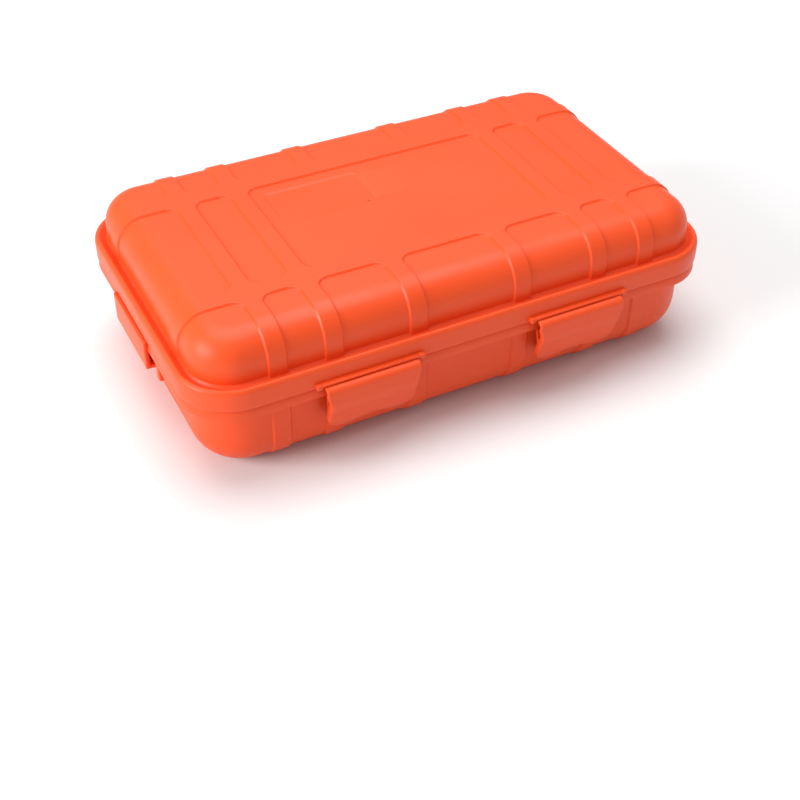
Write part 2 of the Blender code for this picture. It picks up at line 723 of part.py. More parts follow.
def tweezers(x, front, back, height):
    """Two sprung arms that meet at the back, lying on their edge faces."""
    tip = TWEEZER_SPREAD / 2
    arm = TWEEZER_THICKNESS
    length = back - front
    half = [(0.0, back), (tip * 0.5, back - 0.02 * length), (tip, back - 0.30 * length),
            (tip, back - 0.62 * length), (0.55 * tip, front)]
    inner = [(0.55 * tip - arm, front), (tip - arm, back - 0.60 * length),
             (tip - arm, back - 0.31 * length), (arm * 0.4, back - 0.08 * length)]
    outline = half + inner + [(-a, b) for a, b in reversed(inner)] + \
        [(-a, b) for a, b in reversed(half[1:])]
    made = extruded_outline("tweezers", [(x + a, -b) for a, b in outline], height,
                            height + TWEEZER_WIDTH, "Y")
    lay_down = Matrix(((1, 0, 0, 0), (0, 0, -1, 0), (0, 1, 0, 0), (0, 0, 0, 1)))
    made.data.transform(made.matrix_world)
    made.matrix_world = Matrix.Identity(4)
    made.data.transform(lay_down)
    return as_part(made, (0.75, 0.76, 0.78), 0.25, 1.0)


def contents():
    """The first aid supplies, packed from the right end of the case to the left."""
    made = []
    right = TRAY_X
    dressing_left = right - DRESSING_WIDTH
    small_x = dressing_left - GAP - SMALL_ROLL_DIAMETER / 2
    large_x = small_x - (SMALL_ROLL_DIAMETER + LARGE_ROLL_DIAMETER) / 2 - GAP
    wipe_left = large_x + LARGE_ROLL_DIAMETER / 2 + GAP
    wipe_front = TRAY_Y - SACHET_COUNT * (SACHET_THICKNESS + GAP)
    tape_back = wipe_front - GAP
    tape_front = tape_back - TAPE_WIDTH
    small_back = tape_front - GAP
    tape_x = wipe_left + TAPE_DIAMETER / 2
    plaster_depth = PLASTER_COUNT * (PLASTER_THICKNESS + GAP)
    plaster_left = large_x - LARGE_ROLL_DIAMETER / 2 - plaster_depth

    large = roll_along_y("bandage_roll_large", LARGE_ROLL_DIAMETER, -TRAY_Y, TRAY_Y, large_x)
    made.append(as_part(large, (0.93, 0.88, 0.78), 0.8))
    small = roll_along_y("bandage_roll_small", SMALL_ROLL_DIAMETER, -TRAY_Y, small_back, small_x)
    made.append(as_part(small, (0.95, 0.95, 0.93), 0.8))
    tape = roll_along_y("tape_roll", TAPE_DIAMETER, tape_front, tape_back, tape_x,
                        hole=TAPE_CORE_DIAMETER + 2 * GAP)
    made.append(as_part(tape, (0.95, 0.94, 0.90), 0.6))
    core = turned("tape_core", [
        (TAPE_CORE_DIAMETER / 2 - TAPE_CORE_WALL, 0.0), (TAPE_CORE_DIAMETER / 2, 0.0),
        (TAPE_CORE_DIAMETER / 2, TAPE_WIDTH), (TAPE_CORE_DIAMETER / 2 - TAPE_CORE_WALL, TAPE_WIDTH)],
        around="Y")
    core.location = (tape_x, tape_back, FLOOR + TAPE_DIAMETER / 2)
    made.append(as_part(core, (0.62, 0.45, 0.30), 0.8))
    dressing = packet("wound_dressing", (dressing_left, -TRAY_Y, FLOOR),
                      (right, small_back, FLOOR + DRESSING_HEIGHT), 2 * PACKET_STEP)
    made.append(as_part(dressing, (0.92, 0.93, 0.95), 0.6))
    made += wipes(wipe_left, right, TRAY_Y)
    made.append(ampoule(right - AMPOULE_DIAMETER / 2, (tape_front + tape_back) / 2))
    made.append(tweezers((dressing_left + right) / 2, -TRAY_Y + GAP, small_back - GAP,
                         FLOOR + DRESSING_HEIGHT + GAP))
    made += plasters(plaster_left)
    made += flat_stack(-TRAY_X, plaster_left - GAP)
    return made


def axis_empty(name, place, parent=None):
    marker = bpy.data.objects.new(name, None)
    marker.empty_display_size = 0.01
    PARTS.objects.link(marker)
    marker.location = place
    bpy.context.view_layer.update()
    if parent is not None:
        follow(marker, parent)
    return marker


def follow(child, parent):
    bpy.context.view_layer.update()
    child.parent = parent
    child.matrix_parent_inverse = parent.matrix_world.inverted()


def main():
    base = base_shell()
    lid = lid_shell()
    lid_axis = axis_empty("lid_hinge_axis", (0.0, HINGE_Y, HINGE_Z))
    for piece in (lid, gasket()):
        follow(piece, lid_axis)
    for piece in pins():
        follow(piece, lid_axis if piece.name.startswith("latch") else base)
    for side, hand in ((-1, "left"), (1, "right")):
        marker = axis_empty(f"latch_axis_{hand}", (side * LATCH_OFFSET_X, LATCH_Y, LATCH_Z), lid_axis)
        follow(latch(f"latch_{hand}", side), marker)
    for piece in contents():
        follow(piece, base)


SHELL_COLOR = (0.90, 0.22, 0.08)

clear_scene()
PARTS = new_collection(COLLECTION)
CUTTERS = new_collection(CUTTER_COLLECTION)
main()
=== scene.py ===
# %% [markdown]
# # A pocket first aid kit in an orange clamshell case
#
# The case is two injection moulded shells that hinge at the back and snap shut with two latches at
# the front. The frame of this scene is the working part itself: its hinges, latches and joints are
# already in place, and every piece made here is a finer skin that rides on one of its bodies.
# All sizes below are in metres, with `MM` for millimetres.

# %% Load the working part
import math

import bmesh
import bpy
from mathutils import Matrix, Vector
from mathutils.noise import noise


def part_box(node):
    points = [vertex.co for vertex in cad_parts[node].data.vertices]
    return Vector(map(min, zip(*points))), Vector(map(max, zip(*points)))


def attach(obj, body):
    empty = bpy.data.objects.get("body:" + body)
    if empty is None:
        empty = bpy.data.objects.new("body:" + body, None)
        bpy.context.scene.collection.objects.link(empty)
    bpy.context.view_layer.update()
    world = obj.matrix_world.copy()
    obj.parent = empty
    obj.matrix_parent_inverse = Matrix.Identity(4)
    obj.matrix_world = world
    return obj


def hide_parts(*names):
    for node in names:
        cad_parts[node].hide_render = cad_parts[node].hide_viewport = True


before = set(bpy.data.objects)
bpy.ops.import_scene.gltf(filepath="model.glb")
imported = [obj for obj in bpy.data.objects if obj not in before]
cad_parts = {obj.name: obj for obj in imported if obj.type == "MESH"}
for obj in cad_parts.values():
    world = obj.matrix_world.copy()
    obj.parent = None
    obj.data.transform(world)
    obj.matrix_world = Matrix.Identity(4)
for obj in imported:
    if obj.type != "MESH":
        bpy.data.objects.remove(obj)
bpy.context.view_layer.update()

MM = 0.001

# %% [markdown]
# ## The sizes that drive the case
#
# The rim of the lid is the widest outline of the case, so every other wall is measured inwards from
# it. Heights come from the working part's own boxes, so that the skin always fits what moves.

# %% Driving sizes
HALF_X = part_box("lid_shell")[1].x
HALF_Y = 49.3 * MM
RIM_CORNER = 16.0 * MM
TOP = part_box("lid_shell")[1].z
SEAM = 26.9 * MM
GAP = 0.3 * MM
WALL = 2.2 * MM
LID_BOTTOM = SEAM + GAP
OVERHANG = 3.4 * MM
DOME_FILLET = 9.0 * MM
BASE_HALF_X = HALF_X - 3.1 * MM
BASE_HALF_Y = HALF_Y - 3.1 * MM
BASE_CORNER = 15.0 * MM
BASE_FILLET = 12.0 * MM
RELIEF = 0.5 * MM
print("rim half sizes, mm:", round(HALF_X / MM, 2), round(HALF_Y / MM, 2), "top:", round(TOP / MM, 2))

# %% [markdown]
# ## Small helpers
#
# A bmesh is Blender's workbench for meshes: shapes are made and changed there by operators and are
# only turned into an object at the end. `finished` does that last step the same way for each piece.
# It merges doubles, points the faces outwards, shades the mesh smooth except at sharp edges, and
# hangs the piece on a body of the working part so that it moves with it.

# %% Finish a piece
PIECES = bpy.data.collections.new("first_aid_kit_skin")
bpy.context.scene.collection.children.link(PIECES)


def finished(name, work, body, material, stands_for=(), sharp=38.0):
    bmesh.ops.remove_doubles(work, verts=work.verts[:], dist=0.002 * MM)
    bmesh.ops.recalc_face_normals(work, faces=work.faces[:])
    mesh = bpy.data.meshes.new(name)
    work.to_mesh(mesh)
    work.free()
    mesh.shade_smooth()
    mesh.set_sharp_from_angle(angle=math.radians(sharp))
    piece = bpy.data.objects.new(name, mesh)
    PIECES.objects.link(piece)
    mesh.materials.append(material)
    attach(piece, body)
    if stands_for:
        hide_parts(*stands_for)
    print(f"{name}: {len(mesh.polygons)} faces on {body}")
    return piece


# %% Soft steps and arcs
def smooth_step(low, high, value):
    share = min(max((value - low) / (high - low), 0.0), 1.0)
    return share * share * (3 - 2 * share)


def arc(centre, radii, first, last, steps):
    """Points on an ellipse's arc as (inset, height) pairs; angles in degrees, 0 points outwards."""
    turns = [math.radians(first + (last - first) * i / steps) for i in range(steps + 1)]
    return [(centre[0] - radii[0] * math.cos(t), centre[1] + radii[1] * math.sin(t)) for t in turns]


# %% [markdown]
# ## Lofting round a rounded rectangle
#
# Both shells and the seal have the same kind of outline: a rectangle with round
# corners. A loft stacks such outlines and joins each to the next. It could be cut out of a block
# with booleans instead, but a loft gives clean rings of quads, which shade without dents.

# %% Outlines and lofts
CORNER_POINTS = 22


def outline(work, half_x, half_y, corner, height):
    """Adds one rounded rectangle of edges to the bmesh and returns its vertices in order."""
    ring = bmesh.ops.create_circle(work, cap_ends=False, radius=1.0, segments=4 * CORNER_POINTS)
    for index, vertex in enumerate(ring["verts"]):
        quarter, step = divmod(index, CORNER_POINTS)
        turn = math.radians(90 * (quarter + step / (CORNER_POINTS - 1)))
        side_x = 1 if quarter in (0, 3) else -1
        side_y = 1 if quarter in (0, 1) else -1
        vertex.co = (side_x * (half_x - corner) + corner * math.cos(turn),
                     side_y * (half_y - corner) + corner * math.sin(turn), height)
    return list(ring["verts"])


def joined(work, first, second):
    """Quads between two rings of vertices that run in the same order."""
    return [work.faces.new(side) for side in
            zip(first, first[1:] + first[:1], second[1:] + second[:1], second)]


def walled(work, twins):
    """Closes the gap between a surface's rim and the rim of its copy."""
    rims = [edge.verts for edge in work.edges if edge.is_boundary and edge.verts[0] in twins]
    return [work.faces.new((a, b, twins[b], twins[a])) for a, b in rims]


def loft(work, rings, closed=False):
    """Joins outlines given as (half_x, half_y, corner, height); returns the faces between them."""
    loops = [outline(work, *ring) for ring in rings]
    pairs = list(zip(loops, loops[1:] + loops[:1] if closed else loops[1:]))
    bands = [joined(work, first, second) for first, second in pairs]
    caps = []
    if not closed:
        caps = [work.faces.new(loops[0]), work.faces.new(loops[-1])]
    return bands, caps


def from_rim(inset, height):
    """An outline that follows the lid's rim, inset by this much."""
    return HALF_X - inset, HALF_Y - inset, RIM_CORNER - inset, height


def from_base(inset, height):
    """An outline that follows the base's wall, inset by this much."""
    return BASE_HALF_X - inset, BASE_HALF_Y - inset, BASE_CORNER - inset, height


# %% [markdown]
# ## Where the sunk panels lie
#
# The case's ribs are not strips laid on top. The mould's big faces are sunk by half a millimetre and
# the ribs are what is left between them. So the panels are rounded rectangles in plan, and a panel
# that runs over the edge of the lid and down the wall simply reaches out past the case.

# %% Panels in plan
RIB = 5.3 * MM
CENTRE_X, CENTRE_Y = 38.9 * MM, 22.3 * MM
NARROW_IN = CENTRE_X + RIB
NARROW_OUT = NARROW_IN + 10.9 * MM
END_X = NARROW_OUT + RIB
SIDE_IN = 13.7 * MM
SIDE_START = 28.2 * MM
PANEL_CORNER = 3.2 * MM
BEYOND = 110 * MM


def mirrored_spans(spans):
    return spans + [(-high, -low) for low, high in spans]


def mirrored_spans_with(start_x):
    """One panel over each whole end of the case."""
    return [(start_x, BEYOND, -BEYOND, BEYOND), (-BEYOND, -start_x, -BEYOND, BEYOND)]


def wall_panels(front_start, end_start, far_x):
    """Panels on the four walls and corners, as (low_x, high_x, low_y, high_y)."""
    spans = [(-SIDE_IN, SIDE_IN)] + mirrored_spans(
        [(SIDE_IN + RIB, CENTRE_X), (NARROW_IN, NARROW_OUT), (far_x, BEYOND)])
    panels = []
    for low, high in spans:
        panels += [(low, high, front_start, BEYOND), (low, high, -BEYOND, -front_start)]
    panels += [(end_start, BEYOND, -CENTRE_Y, CENTRE_Y), (-BEYOND, -end_start, -CENTRE_Y, CENTRE_Y)]
    return panels


LID_PANELS = wall_panels(SIDE_START, END_X, END_X) + [(-CENTRE_X, CENTRE_X, -CENTRE_Y, CENTRE_Y)]
LID_PANELS += [(low, high, -CENTRE_Y, CENTRE_Y) for low, high in mirrored_spans([(NARROW_IN, NARROW_OUT)])]
print(len(LID_PANELS), "panels on the lid")


# %% How deep a spot lies
STEP_HALF = 0.2 * MM


def outside_panel(panel, x, y, corner):
    """Distance from a rounded rectangle's edge, negative inside it."""
    low_x, high_x, low_y, high_y = panel
    across = abs(x - (low_x + high_x) / 2) - (high_x - low_x) / 2 + corner
    along = abs(y - (low_y + high_y) / 2) - (high_y - low_y) / 2 + corner
    return math.hypot(max(across, 0.0), max(along, 0.0)) + min(max(across, along), 0.0) - corner


def sunk(panels, x, y, corner=PANEL_CORNER):
    """1 on a panel's floor, 0 on a rib, with a soft step between."""
    nearest = min(outside_panel(panel, x, y, corner) for panel in panels)
    return 1.0 - smooth_step(-STEP_HALF, STEP_HALF, nearest)


# %% Cuts along the panels' edges
CUT_STEP = 0.24 * MM


def edge_cuts(panels, axis, corner_room):
    """Where to cut the skin so that each panel's step and round corners have edges to bend along."""
    places = set()
    for panel in panels:
        low, high = panel[2 * axis], panel[2 * axis + 1]
        for edge, inward in ((low, 1), (high, -1)):
            if abs(edge) < BEYOND:
                steps = int(corner_room / CUT_STEP)
                offsets = [-0.5 * MM] + [k * CUT_STEP for k in range(-1, steps + 1)]
                places |= {round(edge + inward * offset, 7) for offset in offsets}
    return sorted(places)


def cut_skin(work, skin, axis, places):
    """Cuts the tagged outer faces with a plane across X (axis 0) or Y (axis 1) at each place."""
    normal = (1.0, 0.0, 0.0) if axis == 0 else (0.0, 1.0, 0.0)
    for place in places:
        near = []
        for face in work.faces:
            if face[skin]:
                along = [vertex.co[axis] for vertex in face.verts]
                if min(along) < place - 1e-6 and max(along) > place + 1e-6:
                    near.append(face)
        edges = {edge for face in near for edge in face.edges}
        verts = {vertex for face in near for vertex in face.verts}
        bmesh.ops.bisect_plane(work, geom=near + list(edges) + list(verts), dist=1e-7,
                               plane_co=[place * n for n in normal], plane_no=normal)


# %% [markdown]
# ## Moulded orange plastic
#
# The shells are one plain polypropylene: a satin face with a very fine spark-eroded texture from the
# mould, a slightly glossier look where hands have rubbed it, and almost no colour change. The bump
# has to be much finer than any rib, or it reads as dirt. The pattern sits on Object coordinates, so
# it stays put in every view.

# %% The plastic
def new_material(name, color, roughness, metallic=0.0, gloss=0.5):
    material = bpy.data.materials.new(name)
    material.use_nodes = True
    shader = material.node_tree.nodes["Principled BSDF"]
    shader.inputs["Base Color"].default_value = (*color, 1.0)
    shader.inputs["Roughness"].default_value = roughness
    shader.inputs["Metallic"].default_value = metallic
    shader.inputs["Specular IOR Level"].default_value = gloss
    material.diffuse_color = (*color, 1.0)
    return material, material.node_tree, shader


def noise_at(tree, scale, detail=3.0, coordinates=None):
    """A noise texture on Object coordinates; returns its factor."""
    texture = tree.nodes.new("ShaderNodeTexNoise")
    texture.inputs["Scale"].default_value = scale
    texture.inputs["Detail"].default_value = detail
    if coordinates is None:
        coordinates = tree.nodes.new("ShaderNodeTexCoord").outputs["Object"]
    tree.links.new(coordinates, texture.inputs["Vector"])
    return texture.outputs["Fac"]


def colour_between(tree, factor, low_color, high_color, low=0.35, high=0.65):
    """A colour ramp between two colours."""
    ramp = tree.nodes.new("ShaderNodeValToRGB")
    ramp.color_ramp.elements[0].position = low
    ramp.color_ramp.elements[1].position = high
    ramp.color_ramp.elements[0].color = (*low_color, 1.0)
    ramp.color_ramp.elements[1].color = (*high_color, 1.0)
    tree.links.new(factor, ramp.inputs["Fac"])
    return ramp.outputs["Color"]


def value_between(tree, factor, low, high):
    """Maps a factor to a range of numbers."""
    span = tree.nodes.new("ShaderNodeMapRange")
    span.inputs["From Min"].default_value = 0.3
    span.inputs["From Max"].default_value = 0.7
    span.inputs["To Min"].default_value = low
    span.inputs["To Max"].default_value = high
    tree.links.new(factor, span.inputs["Value"])
    return span.outputs["Result"]


def bumped(tree, shader, height, strength, distance):
    bump = tree.nodes.new("ShaderNodeBump")
    bump.inputs["Strength"].default_value = strength
    bump.inputs["Distance"].default_value = distance
    tree.links.new(height, bump.inputs["Height"])
    tree.links.new(bump.outputs["Normal"], shader.inputs["Normal"])


def moulded_plastic(name, color, light_color, roughness=0.42):
    material, tree, shader = new_material(name, color, roughness, gloss=0.34)
    broad = noise_at(tree, 22.0, 2.0)
    tree.links.new(colour_between(tree, broad, color, light_color), shader.inputs["Base Color"])
    rubbed = noise_at(tree, 55.0, 4.0)
    tree.links.new(value_between(tree, rubbed, roughness - 0.05, roughness + 0.05),
                   shader.inputs["Roughness"])
    bumped(tree, shader, noise_at(tree, 2600.0, 2.0), 0.22, 0.05 * MM)
    return material


ORANGE = (0.84, 0.074, 0.011)
ORANGE_LIGHT = (0.86, 0.080, 0.013)
case_plastic = moulded_plastic("orange_polypropylene", ORANGE, ORANGE_LIGHT)
print("materials:", case_plastic.name)


# %% [markdown]
# ## The lid
#
# Its section runs from the flat top over a large fillet, down the short wall into a groove, over a
# rounded rim, under the rim to the channel that holds the seal, and back up inside. Lofting that
# section round the outline makes the whole shell closed in one go. Only the outer skin is then cut
# along the panels' edges, and the panels are pushed in along the surface's own normals, so their
# steps follow the fillet exactly.

# %% The lid's section
GROOVE = TOP - 13.7 * MM
RIM_CREST = GROOVE + 1.25 * MM
DOME_TOP_INSET = OVERHANG + DOME_FILLET
HOLD = 1.2 * MM
LID_OUTER = [(DOME_TOP_INSET + HOLD, TOP)]
LID_OUTER += arc((DOME_TOP_INSET, TOP - DOME_FILLET), (DOME_FILLET, DOME_FILLET), 90, 0, 14)
LID_OUTER += [(OVERHANG, GROOVE + 2.2 * MM), (OVERHANG, GROOVE + 0.8 * MM),
              (OVERHANG - 0.06 * MM, GROOVE + 0.2 * MM), (OVERHANG - 0.3 * MM, GROOVE),
              (OVERHANG - 0.7 * MM, GROOVE + 0.22 * MM), (2.1 * MM, GROOVE + 0.75 * MM),
              (1.65 * MM, GROOVE + 1.08 * MM)]
LID_OUTER += arc((1.2 * MM, RIM_CREST - 1.8 * MM), (1.2 * MM, 1.8 * MM), 95, 0, 7)
LID_OUTER += [(0.0, LID_BOTTOM + 1.2 * MM)]
LID_UNDER = arc((0.3 * MM, SEAM + 0.4 * MM), (0.3 * MM, 0.3 * MM), 0, -90, 3)
CHANNEL_TOP = SEAM + 3.7 * MM
LID_UNDER += [(1.8 * MM, LID_BOTTOM), (1.8 * MM, CHANNEL_TOP), (4.2 * MM, CHANNEL_TOP),
              (4.2 * MM, LID_BOTTOM), (OVERHANG + WALL - 0.3 * MM, LID_BOTTOM),
              (OVERHANG + WALL, LID_BOTTOM + 0.3 * MM), (OVERHANG + WALL, TOP - DOME_FILLET - 4 * MM)]
CEILING_FILLET = DOME_FILLET - WALL
LID_INNER = arc((DOME_TOP_INSET, TOP - DOME_FILLET), (CEILING_FILLET, CEILING_FILLET), 0, 90, 10)
LID_INNER += [(DOME_TOP_INSET + HOLD, TOP - WALL)]
print("lid section:", len(LID_OUTER + LID_UNDER + LID_INNER), "points")

# %% The name plate's outline and the mould's gate mark
PLATE = (-35.2 * MM, -5.5 * MM, 1.4 * MM, 17.9 * MM)
PLATE_DEPTH = 0.16 * MM
GATE = (-7.9 * MM, 2.0 * MM)
GATE_RADIUS = 0.75 * MM
GATE_DEPTH = 0.45 * MM


def small_marks(x, y):
    """Depth of the shallow plate, which fades towards one corner, and of the gate mark."""
    inside = 1.0 - smooth_step(-0.2 * MM, 0.2 * MM, outside_panel(PLATE, x, y, 1.6 * MM))
    fade = smooth_step(3 * MM, 11 * MM, y + 0.28 * (x - PLATE[0]))
    gate = 1.0 - smooth_step(0.3 * GATE_RADIUS, GATE_RADIUS, math.hypot(x - GATE[0], y - GATE[1]))
    return PLATE_DEPTH * inside * fade + GATE_DEPTH * gate


def mark_cuts(axis):
    spots = [GATE[axis] + GATE_RADIUS * k / 3 for k in range(-4, 5)]
    for edge, inward in ((PLATE[2 * axis], 1), (PLATE[2 * axis + 1], -1)):
        spots += [edge + inward * k * 0.25 * MM for k in range(-1, 7)]
    return spots


# %% Loft the lid and sink its panels
def sink_panels(work, skin, panels, floor_height, extra=None):
    """Pushes each outer vertex inwards by the depth of the panel it lies on."""
    work.normal_update()
    outer = {vertex for face in work.faces if face[skin] for vertex in face.verts}
    moves = []
    for vertex in outer:
        x, y, z = vertex.co
        depth = RELIEF * sunk(panels, x, y) * smooth_step(*floor_height, z)
        if extra and vertex.normal.z > 0.9:
            depth += extra(x, y)
        moves.append((vertex, vertex.normal * depth))
    for vertex, move in moves:
        vertex.co -= move
    return len(moves)


def make_lid():
    work = bmesh.new()
    skin = work.faces.layers.int.new("skin")
    bands, caps = loft(work, [from_rim(*point) for point in LID_OUTER + LID_UNDER + LID_INNER])
    for face in [caps[0]] + [face for band in bands[:19] for face in band]:
        face[skin] = 1
    bmesh.ops.recalc_face_normals(work, faces=work.faces[:])
    cut_skin(work, skin, 0, edge_cuts(LID_PANELS, 0, 3.3 * MM) + mark_cuts(0))
    cut_skin(work, skin, 1, edge_cuts(LID_PANELS, 1, 3.3 * MM) + mark_cuts(1))
    print("panel vertices:", sink_panels(work, skin, LID_PANELS, (GROOVE, GROOVE + 0.9 * MM), small_marks))
    return finished("lid_case", work, "lid", case_plastic, ["lid_shell"])


make_lid()


# %% [markdown]
# ## The base
#
# The base is the same kind of loft from the floor up: a deep fillet, a straight wall with ribs, the
# lip that the latches hook under, and a tongue that presses into the lid's seal. The lip's face
# leans back a little, which is why it catches more light than the wall below it.

# %% The base's section
LIP_BOTTOM = SEAM - 3.4 * MM
BASE_OUTER = [(BASE_FILLET + HOLD, 0.0)]
BASE_OUTER += [(inset, height) for inset, height in
               arc((BASE_FILLET, BASE_FILLET), (BASE_FILLET, BASE_FILLET), -90, 0, 14)]
BASE_OUTER += [(0.0, 18.0 * MM), (0.0, LIP_BOTTOM - 0.5 * MM)]
LIP = [(2.75 * MM, LIP_BOTTOM), (0.6 * MM, LIP_BOTTOM)]
LIP += arc((0.5 * MM, LIP_BOTTOM + 0.4 * MM), (0.4 * MM, 0.4 * MM), -60, 0, 3)
LIP += [(0.5 * MM, SEAM - 0.9 * MM), (0.72 * MM, SEAM - 0.3 * MM), (0.95 * MM, SEAM)]
TONGUE_TOP = SEAM + 1.4 * MM
LIP += [(2.4 * MM, SEAM), (2.4 * MM, TONGUE_TOP - 0.2 * MM), (2.6 * MM, TONGUE_TOP),
        (3.4 * MM, TONGUE_TOP), (3.6 * MM, TONGUE_TOP - 0.2 * MM), (3.6 * MM, SEAM)]
BASE_INNER = [(WALL - 0.3 * MM, SEAM), (WALL, SEAM - 0.3 * MM), (WALL, 18.0 * MM)]
FLOOR_FILLET = BASE_FILLET - WALL
BASE_INNER += arc((BASE_FILLET, BASE_FILLET), (FLOOR_FILLET, FLOOR_FILLET), 0, -90, 10)
BASE_INNER += [(BASE_FILLET + HOLD, WALL)]
BASE_PANELS = []
for low, high in [(-SIDE_IN, SIDE_IN)] + mirrored_spans([(SIDE_IN + RIB, CENTRE_X), (NARROW_IN, NARROW_OUT)]):
    BASE_PANELS += [(low, high, SIDE_START, BEYOND), (low, high, -BEYOND, -SIDE_START)]
BASE_PANELS += mirrored_spans_with(END_X)
print("base section:", len(BASE_OUTER + LIP + BASE_INNER), "points")


# %% Loft the base
def make_base():
    work = bmesh.new()
    skin = work.faces.layers.int.new("skin")
    rings = [from_base(*point) for point in BASE_OUTER] + [from_rim(*point) for point in LIP]
    rings += [from_base(*point) for point in BASE_INNER]
    bands, caps = loft(work, rings)
    for face in [caps[0]] + [face for band in bands[:17] for face in band]:
        face[skin] = 1
    bmesh.ops.recalc_face_normals(work, faces=work.faces[:])
    cut_skin(work, skin, 0, edge_cuts(BASE_PANELS, 0, 3.3 * MM))
    print("panel vertices:", sink_panels(work, skin, BASE_PANELS, (0.3 * MM, 2.5 * MM)))
    return finished("base_case", work, "base", case_plastic, ["base_shell"])


make_base()


# %% [markdown]
# ## Rear hinges
#
# Each hinge is three moulded knuckles on a steel pin: the middle one belongs to the lid and the outer
# two to the base. A knuckle is a round barrel with a bore, and a square root that runs back into the
# shell. The barrel starts as a circle. The quarter that faces the shell is pulled out square, and the
# bore is joined to it, so barrel and root are one closed piece.

# %% Knuckles
HINGE_LOW, HINGE_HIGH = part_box("hinge_pin_left")
HINGE_Y = (HINGE_LOW.y + HINGE_HIGH.y) / 2
HINGE_Z = (HINGE_LOW.z + HINGE_HIGH.z) / 2
HINGE_X = -(HINGE_LOW.x + HINGE_HIGH.x) / 2
PIN_RADIUS = (HINGE_HIGH.z - HINGE_LOW.z) / 2
KNUCKLE_RADIUS = 1.6 * MM
LID_KNUCKLE, BASE_KNUCKLE = 9.0 * MM, 6.0 * MM
BARREL_POINTS = 40


def bored_barrel(work, centre_y, centre_z, radius, bore, start, end, root_y=None, root_side=1):
    """A barrel along X with a bore. root_y pulls its quarter above (1) or below (-1) out square."""
    turn = Matrix.Translation((start, centre_y, centre_z)) @ Matrix.Rotation(math.pi / 2, 4, "Y")
    rings = [bmesh.ops.create_circle(work, cap_ends=False, radius=size, segments=BARREL_POINTS,
                                     matrix=turn)["verts"] for size in (radius, bore)]
    if root_y is not None:
        toward = 1 if root_y > centre_y else -1
        for vertex in rings[0]:
            out = (vertex.co.y - centre_y) * toward
            up = (vertex.co.z - centre_z) * root_side
            if out > 0.05 * radius and up > 0.16 * radius:
                vertex.co.y = root_y
                vertex.co.z = centre_z + root_side * (radius if up > 0.6 * radius else 0.2 * radius)
    face = joined(work, *rings)
    pushed = bmesh.ops.extrude_face_region(work, geom=face)["geom"]
    moved = [item for item in pushed if isinstance(item, bmesh.types.BMVert)]
    bmesh.ops.translate(work, verts=moved, vec=(end - start, 0.0, 0.0))


def make_knuckles(name, body, spans, side):
    work = bmesh.new()
    for start, end in spans:
        bored_barrel(work, HINGE_Y, HINGE_Z, KNUCKLE_RADIUS, PIN_RADIUS + 0.15 * MM, start, end,
                     HALF_Y - 1.2 * MM, side)
    return finished(name, work, body, case_plastic, sharp=30)


def hinge_spans():
    """X spans of the lid's knuckles and of the base's knuckles."""
    lid_spans, base_spans = [], []
    for centre in (-HINGE_X, HINGE_X):
        half = LID_KNUCKLE / 2
        lid_spans.append((centre - half, centre + half))
        for side in (-1, 1):
            inner = centre + side * (half + GAP)
            base_spans.append(tuple(sorted((inner, inner + side * BASE_KNUCKLE))))
    return lid_spans, base_spans


lid_spans, base_spans = hinge_spans()
make_knuckles("lid_hinge_knuckles", "lid", lid_spans, 1)
make_knuckles("base_hinge_knuckles", "base", base_spans, -1)


# %% [markdown]
# ## Latch mounts
#
# Each latch turns on a steel pin. Two ears on the lid's rim hold the pin inside the roll of the
# latch, where they don't show until it is opened, and a ledge above them keeps grit out. The ears are
# made like the knuckles, and the ledge is a bar whose long edges are bevelled, because a moulded part
# has no razor edges. One fault is left in: past part of its swing the roll turns through the roots of
# the ears. A latch that has to work that way would need two slots in its roll.

# %% Ears and ledges
LATCH_LOW, LATCH_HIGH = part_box("latch_pin_right")
LATCH_X = (LATCH_LOW.x + LATCH_HIGH.x) / 2
LATCH_Y = (LATCH_LOW.y + LATCH_HIGH.y) / 2
LATCH_Z = (LATCH_LOW.z + LATCH_HIGH.z) / 2
LATCH_PIN = (LATCH_HIGH.z - LATCH_LOW.z) / 2
LATCH_WIDTH = LATCH_HIGH.x - LATCH_LOW.x
BARREL_RADIUS = 1.5 * MM
EAR_WIDTH = 1.6 * MM
EAR_RADIUS = 1.0 * MM
BARREL_HALF = 8.6 * MM
LEDGE_TIP = 1.95 * MM
LEDGE_BOTTOM = LATCH_Z + BARREL_RADIUS + 0.29 * MM
LEDGE_TOP = LEDGE_BOTTOM + 0.8 * MM
LEDGE_FRONT = -HALF_Y - 1.6 * MM


def add_block(work, low, high, bevel, steps=3):
    """A box with all edges rounded; returns its vertices."""
    low, high = Vector(low), Vector(high)
    size = high - low
    place = Matrix.Translation((low + high) / 2) @ Matrix.Diagonal((*size, 1.0))
    block = bmesh.ops.create_cube(work, size=1.0, matrix=place)["verts"]
    edges = list({edge for vertex in block for edge in vertex.link_edges})
    made = bmesh.ops.bevel(work, geom=edges, offset=bevel, affect="EDGES", segments=steps,
                           profile=0.5, material=-1)
    return list({vertex for face in made["faces"] for vertex in face.verts})


